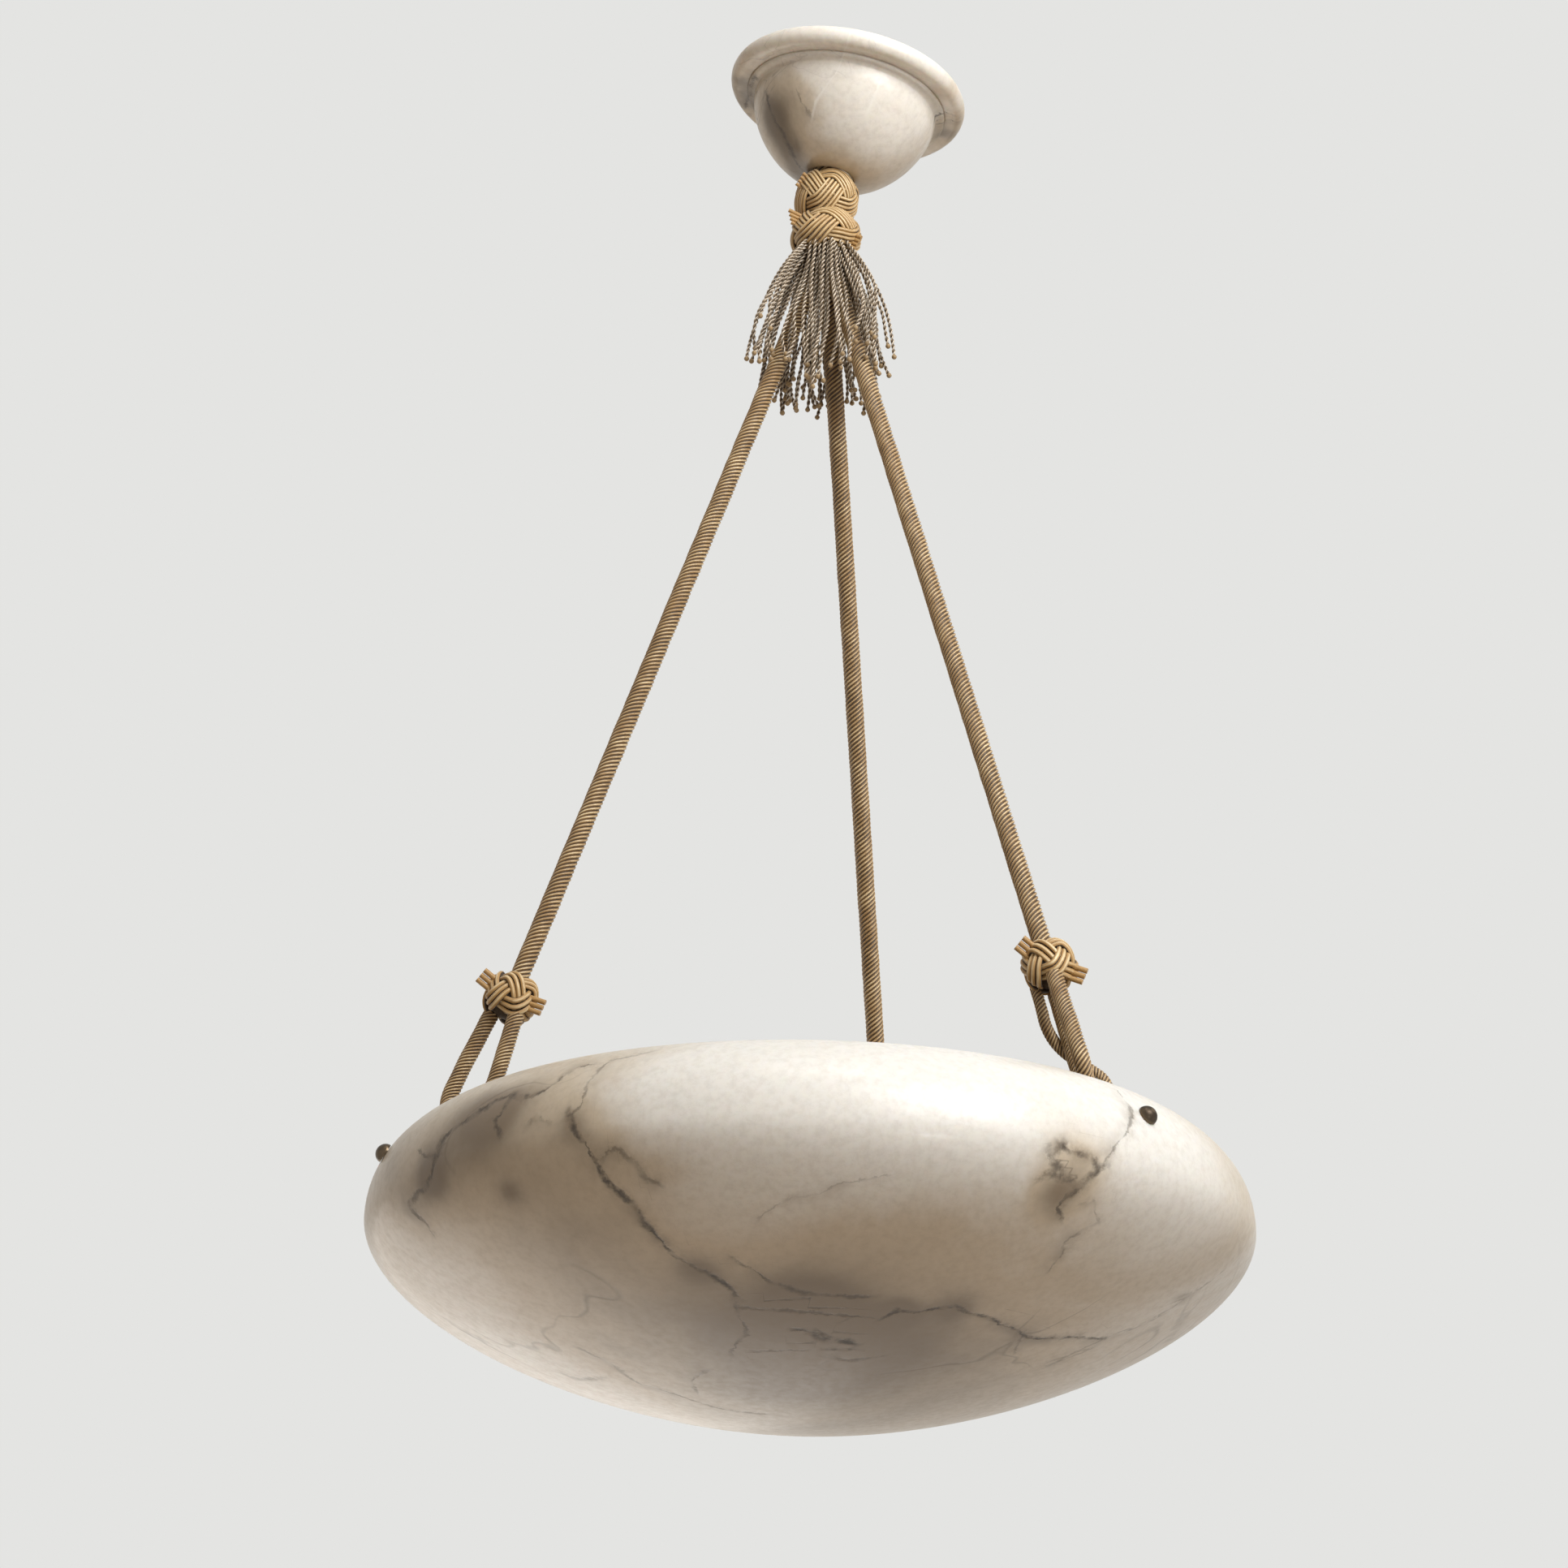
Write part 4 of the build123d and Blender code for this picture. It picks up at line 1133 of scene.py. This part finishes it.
# %% Shared group: the stone's own clouds and faint veins
def clouds_tree():
    tree, given, result = group_tree(
        "stone clouds",
        "ShaderNodeTree",
        [("Cloud Scale", "Float", 9.0), ("Vein Scale", "Float", 6.0)],
        [("Cloud", "Float"), ("Faint Vein", "Float"), ("Grain", "Float")],
    )
    where = position(tree)
    big = noise(tree, where, given["Cloud Scale"], 5.0, 0.55, 0.8)
    warp = noise(tree, where, 14.0, 4.0, 0.6)
    lines = noise(tree, where, given["Vein Scale"], 2.0, 0.5, 1.6)
    lines = calc(tree, "ADD", lines, calc(tree, "MULTIPLY", calc(tree, "SUBTRACT", warp, 0.5), 0.10))
    ridge = calc(tree, "ABSOLUTE", calc(tree, "SUBTRACT", lines, 0.5))
    faint = ramp(tree, ridge, 0.0, 0.010, 1.0, 0.0)
    where_veined = ramp(tree, noise(tree, where, 8.0, 2.0, 0.5), 0.50, 0.66)
    grain = noise(tree, where, 240.0, 4.0, 0.65)
    tree.links.new(ramp(tree, big, 0.3, 0.7), result["Cloud"])
    tree.links.new(calc(tree, "MULTIPLY", faint, where_veined), result["Faint Vein"])
    tree.links.new(grain, result["Grain"])
    return tree


stone_clouds = clouds_tree()
print(f"group {stone_clouds.name} ready")

# %% Alabaster
def alabaster(name, pale, warm, brown, vein_colour, names, clouds, pale_name=None):
    finish, tree, shader = new_finish(
        name, Specular_IOR_Level=0.45, Coat_Weight=0.12, Coat_Roughness=0.15,
        Subsurface_Weight=0.25, Subsurface_Scale=0.012,
    )
    shader["Subsurface Radius"].default_value = (1.0, 0.72, 0.45)
    cloud = place(tree, "ShaderNodeGroup", {"node_tree": stone_clouds}, clouds).outputs
    tone = attribute(tree, "tone")["Fac"]
    # `tone` holds the stone's stains and tone together with painted light and shade.
    mottle_and_painted_light = calc(tree, "ADD", tone, calc(tree, "MULTIPLY", calc(tree, "SUBTRACT", cloud["Cloud"], 0.5), 0.30))
    colour = blend_colour(tree, ramp(tree, mottle_and_painted_light, -0.35, 0.12), pale, warm)
    colour = blend_colour(tree, ramp(tree, mottle_and_painted_light, 0.05, 0.75), colour, brown)
    speck = ramp(tree, cloud["Grain"], 0.35, 0.75, 0.0, 0.16)
    colour = blend_colour(tree, speck, colour, brown)
    faint = calc(tree, "MULTIPLY", cloud["Faint Vein"], 0.28)
    colour = blend_colour(tree, faint, colour, vein_colour)
    marks = faint
    for label in names:
        given = {"Vein": attribute(tree, label)["Vector"]}
        vein = place(tree, "ShaderNodeGroup", {"node_tree": laid_vein}, given).outputs
        colour = blend_colour(tree, calc(tree, "MULTIPLY", vein["Stain"], 0.95), colour, brown)
        colour = blend_colour(tree, vein["Core"], colour, vein_colour)
        marks = calc(tree, "MAXIMUM", marks, vein["Core"])
    if pale_name:
        crack = {"Vein": attribute(tree, pale_name)["Vector"], "Wander": 0.5, "Break": 0.6}
        crack = place(tree, "ShaderNodeGroup", {"node_tree": laid_vein}, crack).outputs["Core"]
        colour = blend_colour(tree, crack, colour, (0.90, 0.88, 0.83, 1))
    tree.links.new(colour, shader["Base Color"])
    rough = calc(tree, "ADD", ramp(tree, cloud["Grain"], 0.3, 0.7, 0.32, 0.44), calc(tree, "MULTIPLY", marks, 0.25))
    tree.links.new(rough, shader["Roughness"])
    fine = bump(tree, cloud["Grain"], 0.05, 0.0006)
    tree.links.new(bump(tree, calc(tree, "MULTIPLY", marks, -1.0), 0.25, 0.0005, fine), shader["Normal"])
    return finish


bowl_alabaster = alabaster(
    "bowl alabaster", (0.85, 0.845, 0.81, 1), (0.64, 0.56, 0.44, 1), (0.25, 0.19, 0.125, 1), (0.045, 0.031, 0.020, 1),
    ("vein_a", "vein_b", "vein_c"), {"Cloud Scale": 7.0, "Vein Scale": 5.0},
)
bowl.data.materials.append(bowl_alabaster)
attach(bowl, "suspension")
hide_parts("bowl")
print("bowl dressed")

# %% [markdown]
# ## The ceiling cup
# The cup is turned from a browner piece of the same stone and leans on the upper knot. Its rim
# is a thick roll with a small bead below. It gets its own laid cracks, pale ones and dark ones.
# Its low middle rests on the upper knot, so the cup is placed from the knot's radius.

# %% The cup's form
cup_rim_radius = 67 * mm
cup_rim_height = 11.5 * mm
cup_bead = 2 * mm
cup_radius = 52 * mm
cup_fullness = 0.47
cup_bore = 12.5 * mm
knot_reach = 18.8
cup_low = head_z + sqrt(knot_reach**2 - 12.5**2) * mm + 0.4 * mm
cup_high = cup_low + 59.2 * mm
rim_low = cup_high - cup_rim_height
rim_round = cup_rim_radius - cup_rim_height * 0.44
cup_inner = cup_radius - 9 * mm
floor_z = cup_low + 9 * mm

outline = bezier(
    (cup_bore, cup_low),
    (cup_bore + (cup_radius - cup_bore) * cup_fullness, cup_low),
    (cup_radius, rim_low - (rim_low - cup_low) * cup_fullness),
    (cup_radius, rim_low - cup_bead),
    56,
)
for index in range(13):
    angle = pi * index / 12 - pi / 2
    bead = Vector((cos(angle) * cup_bead * 1.15, sin(angle) * cup_bead * 0.8))
    outline.append(Vector((cup_radius + cup_bead * 1.2, rim_low - cup_bead * 0.3)) + bead)
groove = cup_radius + cup_bead * 1.2
outline.append(Vector((groove + 0.2 * mm, rim_low + 1.1 * mm)))
for index in range(1, 7):
    share = index / 6
    sag = 1.1 * mm * (1 - share)
    outline.append(Vector((groove + 0.8 * mm + (rim_round - groove - 0.8 * mm) * share, rim_low + sag * share)))
for index in range(1, 17):
    angle = pi * index / 16 - pi / 2
    reach = (cup_rim_radius - rim_round) * cos(angle)
    outline.append(Vector((rim_round + reach, (rim_low + cup_high) / 2 + cup_rim_height / 2 * sin(angle))))
for index in range(1, 4):
    outline.append(Vector((rim_round + (cup_inner - rim_round) * index / 4, cup_high)))
outline.append(Vector((cup_inner, cup_high)))
outline.append(Vector((cup_inner, (cup_high + rim_low) / 2)))
outline += bezier(
    (cup_inner, rim_low),
    (cup_inner, rim_low - (rim_low - floor_z) * cup_fullness),
    (cup_bore + (cup_inner - cup_bore) * cup_fullness, floor_z),
    (cup_bore, floor_z),
    24,
)
outline.append(Vector((cup_bore, floor_z)))
outline.append(Vector((cup_bore, (floor_z + cup_low) / 2)))
shape, rings = lathe("cup", outline, 288)
cup = finish_mesh("ceiling_cup_stone", shape, (rings[0], rings[-1]))
cup_lean = radians(9.3)
lean = Matrix.Rotation(cup_lean, 4, "Y")
cup.data.transform(Matrix.Translation(head_middle) @ lean @ Matrix.Translation(-head_middle))
print(f"ceiling_cup_stone: {len(cup.data.polygons)} faces")

# %% Cracks and patches of the cup
finder = stone_finder(cup)
pale_cracks = [
    (0.75, 0.35, ((1047, 42), (1043, 58), (1037, 72), (1030, 90), (1018, 106), (1005, 125), (1001, 142))),
    (0.5, 0.3, ((1085, 100), (1078, 118), (1070, 135))),
    (0.5, 0.3, ((1140, 118), (1136, 132), (1130, 145))),
]
dark_cracks = [
    (0.8, 0.7, ((930, 95), (925, 112), (918, 130), (926, 150))),
    (0.7, 1.0, ((945, 120), (952, 140), (962, 160), (975, 185), (985, 205))),
    (0.8, 0.5, ((1152, 145), (1160, 140), (1168, 139))),
    (0.6, 0.4, ((1160, 152), (1172, 148), (1180, 150))),
    (0.55, 0.5, ((985, 118), (990, 130), (996, 140))),
]
lay_veins(cup, finder, "pale_vein", pale_cracks, spread=10 * mm)
lay_veins(cup, finder, "vein_a", dark_cracks, spread=10 * mm)
# Small patches mark stains by the cracks. The white ones on the rim and right of the middle paint light; the brown
# ones on the left and low by the knot are partly the stone's brown and partly painted shade.
cup_tones_and_painted_light = [
    (925, 125, 14, 0.6), (950, 145, 14, 0.7), (972, 185, 16, 0.6), (1005, 222, 18, 0.8), (1060, 222, 18, 0.25),
    (1090, 140, 26, -0.5), (1130, 130, 20, -0.35), (1165, 165, 8, 0.5), (1150, 110, 9, 0.3), (980, 110, 12, 0.25),
    (950, 62, 20, -0.25), (1000, 50, 22, -0.4), (1050, 52, 20, -0.5), (1110, 68, 20, -0.4), (1150, 92, 12, -0.2),
    (912, 100, 7, 0.5), (1020, 100, 14, -0.25), (1020, 170, 14, -0.2),
]
lay_tones(cup, finder, cup_tones_and_painted_light)
cup_alabaster = alabaster(
    "cup alabaster", (0.85, 0.82, 0.76, 1), (0.66, 0.58, 0.46, 1), (0.20, 0.15, 0.095, 1), (0.045, 0.032, 0.022, 1),
    ("vein_a",), {"Cloud Scale": 26.0, "Vein Scale": 18.0}, "pale_vein",
)
cup.data.materials.append(cup_alabaster)
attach(cup, "cup")
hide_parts("ceiling_cup")
print("cup dressed")

# %% [markdown]
# ## Metal, plastic and glass
# The cap nuts and the eye bolts are bronze gone dark, lighter where they are touched. The nuts
# inside are plated steel, the hook and the ring are brass, and the ceiling plate, the hub and
# its arms are painted. These parts keep their solids.

# %% Shared group: worn surface
def worn_tree():
    tree, given, result = group_tree(
        "worn surface",
        "ShaderNodeTree",
        [
            ("Base", "Color", (0.1, 0.07, 0.04, 1)), ("Worn", "Color", (0.4, 0.3, 0.2, 1)),
            ("Patch Scale", "Float", 60.0), ("Amount", "Float", 0.4),
            ("Smooth", "Float", 0.3), ("Dull", "Float", 0.55),
        ],
        [("Color", "Color"), ("Roughness", "Float"), ("Grain", "Float")],
    )
    where = position(tree)
    patch = noise(tree, where, given["Patch Scale"], 4.0, 0.6)
    grain = noise(tree, where, 1400.0, 3.0, 0.6)
    edge = place(tree, "ShaderNodeNewGeometry").outputs["Pointiness"]
    rubbed = ramp(tree, edge, 0.52, 0.60)
    worn = calc(tree, "MULTIPLY", ramp(tree, patch, 0.45, 0.7), given["Amount"])
    worn = calc(tree, "MAXIMUM", worn, calc(tree, "MULTIPLY", rubbed, given["Amount"]))
    tree.links.new(blend_colour(tree, worn, given["Base"], given["Worn"]), result["Color"])
    rough = ramp(tree, patch, 0.3, 0.7, given["Dull"], given["Smooth"])
    tree.links.new(rough, result["Roughness"])
    tree.links.new(grain, result["Grain"])
    return tree


worn_surface = worn_tree()


def hard_finish(name, base, worn, metallic, smooth, dull, amount, **constants):
    """smooth and dull are the least and the greatest roughness, amount the share of wear."""
    finish, tree, shader = new_finish(name, Metallic=metallic, **constants)
    values = {"Base": (*base, 1), "Worn": (*worn, 1), "Amount": amount, "Smooth": smooth, "Dull": dull}
    surface = place(tree, "ShaderNodeGroup", {"node_tree": worn_surface}, values).outputs
    tree.links.new(surface["Color"], shader["Base Color"])
    tree.links.new(surface["Roughness"], shader["Roughness"])
    tree.links.new(bump(tree, surface["Grain"], 0.25, 0.1 * mm), shader["Normal"])
    return finish


print("worn surface ready")

# %% Hard finishes
bronze = hard_finish("dark bronze", (0.055, 0.040, 0.028), (0.28, 0.20, 0.12), 0.85, 0.28, 0.5, 0.35)
steel = hard_finish("plated steel", (0.55, 0.53, 0.48), (0.30, 0.25, 0.18), 1.0, 0.22, 0.42, 0.5)
brass = hard_finish("brass", (0.62, 0.42, 0.16), (0.33, 0.20, 0.08), 1.0, 0.2, 0.45, 0.6)
paint = hard_finish("painted metal", (0.70, 0.68, 0.62), (0.42, 0.40, 0.36), 0.0, 0.35, 0.5, 0.35)
plastic = hard_finish("pale plastic", (0.74, 0.72, 0.66), (0.60, 0.57, 0.50), 0.0, 0.35, 0.5, 0.3)
ceramic = hard_finish(
    "white ceramic", (0.78, 0.77, 0.73), (0.62, 0.60, 0.55), 0.0, 0.12, 0.22, 0.3,
    Coat_Weight=0.5, Coat_Roughness=0.08,
)

dressings = {
    bronze: ["cap_nuts", "eye_bolt_back", "eye_bolt_left", "eye_bolt_right"],
    steel: ["back_nuts", "bolt_washers", "terminal_screws", "arm_screws", "socket_pin"],
    brass: ["flex_gland", "hanging_ring", "ceiling_hook", "rope_socket"],
    paint: ["ceiling_plate", "lamp_hub", "lamp_arm_back", "lamp_arm_left", "lamp_arm_right"],
    plastic: ["terminal_block"],
    ceramic: ["lampholder_1", "lampholder_2", "lampholder_3"],
}


def dress(name, finish):
    nodes[name].data.materials.clear()
    nodes[name].data.materials.append(finish)


for finish, names in dressings.items():
    for name in names:
        dress(name, finish)
print(f"{sum(len(names) for names in dressings.values())} solids dressed")

# %% Frosted bulbs
frosted, tree, shader = new_finish(
    "frosted glass", Roughness=0.45, Specular_IOR_Level=0.5, Subsurface_Weight=0.3, Subsurface_Scale=0.01
)
frost = noise(tree, position(tree), 700.0, 3.0)
tree.links.new(blend_colour(tree, frost, (0.80, 0.79, 0.76, 1), (0.88, 0.87, 0.85, 1)), shader["Base Color"])
tree.links.new(bump(tree, frost, 0.15, 0.0001), shader["Normal"])
for number in (1, 2, 3):
    dress(f"bulb_{number}", frosted)
print("bulbs dressed")

# %% [markdown]
# ## Floor and light
# The lamp hangs against plain pale paper. The key light stands in front on the right, a little
# above the ceiling's height. Weak lights fill from the left, from above the cup and from the
# side. A wide low one behind brightens the bowl's lower left edge, and a small one gives a
# glint. The world and the floor look pale to the camera and in gloss, and light the object
# only a little, with a warm tone.

# %% Floor
def seen_directly(tree):
    """1 for a ray that the camera sends out, also by gloss or through glass, and else 0."""
    rays = place(tree, "ShaderNodeLightPath").outputs
    seen = calc(tree, "MAXIMUM", rays["Is Camera Ray"], rays["Is Glossy Ray"])
    return calc(tree, "MAXIMUM", seen, rays["Is Transmission Ray"])


paper, tree, shader = new_finish("pale paper", Roughness=0.9)
seen = seen_directly(tree)
tree.links.new(blend_colour(tree, seen, (0.50, 0.40, 0.30, 1), (0.72, 0.72, 0.705, 1)), shader["Base Color"])
shader["Emission Color"].default_value = (0.516, 0.556, 0.580, 1)
tree.links.new(seen, shader["Emission Strength"])
shape = bmesh.new()
bmesh.ops.create_grid(shape, x_segments=4, y_segments=4, size=12)
floor_drop = 2.2
bmesh.ops.translate(shape, vec=(0, 0, -floor_drop), verts=shape.verts)
floor = finish_mesh("floor", shape)
floor.data.materials.append(paper)
print(f"floor {floor_drop} m under the ceiling")

# %% World
world = bpy.data.worlds.new("studio")
world.use_nodes = True
bpy.context.scene.world = world
tree = world.node_tree
backdrop = place(tree, "ShaderNodeBackground", {}, {"Color": (0.776, 0.776, 0.761, 1), "Strength": 1.0})
glow = place(tree, "ShaderNodeBackground", {}, {"Color": (1.0, 0.86, 0.71, 1), "Strength": 0.31})
both = {0: seen_directly(tree), 1: glow.outputs[0], 2: backdrop.outputs[0]}
both = place(tree, "ShaderNodeMixShader", {}, both)
tree.links.new(both.outputs[0], tree.nodes["World Output"].inputs[0])
print("world ready")

# %% Lights
def area_light(name, spot, target, size, power, colour):
    data = bpy.data.lights.new(name, "AREA")
    data.size = size
    data.energy = power
    data.color = colour
    light = add_object(name, data)
    light.location = spot
    light.visible_camera = False
    light.rotation_euler = (Vector(target) - Vector(spot)).to_track_quat("-Z", "Y").to_euler()


area_light("key", (0.85, -1.15, 0.28), (0, 0, -0.45), 0.9, 23.5, (1.0, 0.995, 0.99))
area_light("fill", (-1.8, -1.6, -0.5), (0, 0, -0.5), 1.6, 1.5, (1.0, 0.92, 0.82))
area_light("over cup", (0.10, -0.60, 0.75), (0, 0, -0.05), 0.5, 3.5, (1.0, 0.98, 0.95))
area_light("side", (1.7, -0.3, -1.15), (0.12, 0, -0.7), 1.0, 3.0, (1.0, 0.97, 0.92))
area_light("low bounce", (-0.55, 1.0, -1.25), (-0.02, 0.05, -0.73), 1.3, 6.0, (1.0, 0.95, 0.88))
area_light("glint", (0.76, -1.42, -1.12), (0.02, -0.22, -0.69), 0.10, 1.8, (1.0, 0.98, 0.95))
bpy.context.scene.view_settings.view_transform = "Standard"
print("lights ready")

# %% A last update of the scene
bpy.context.view_layer.update()
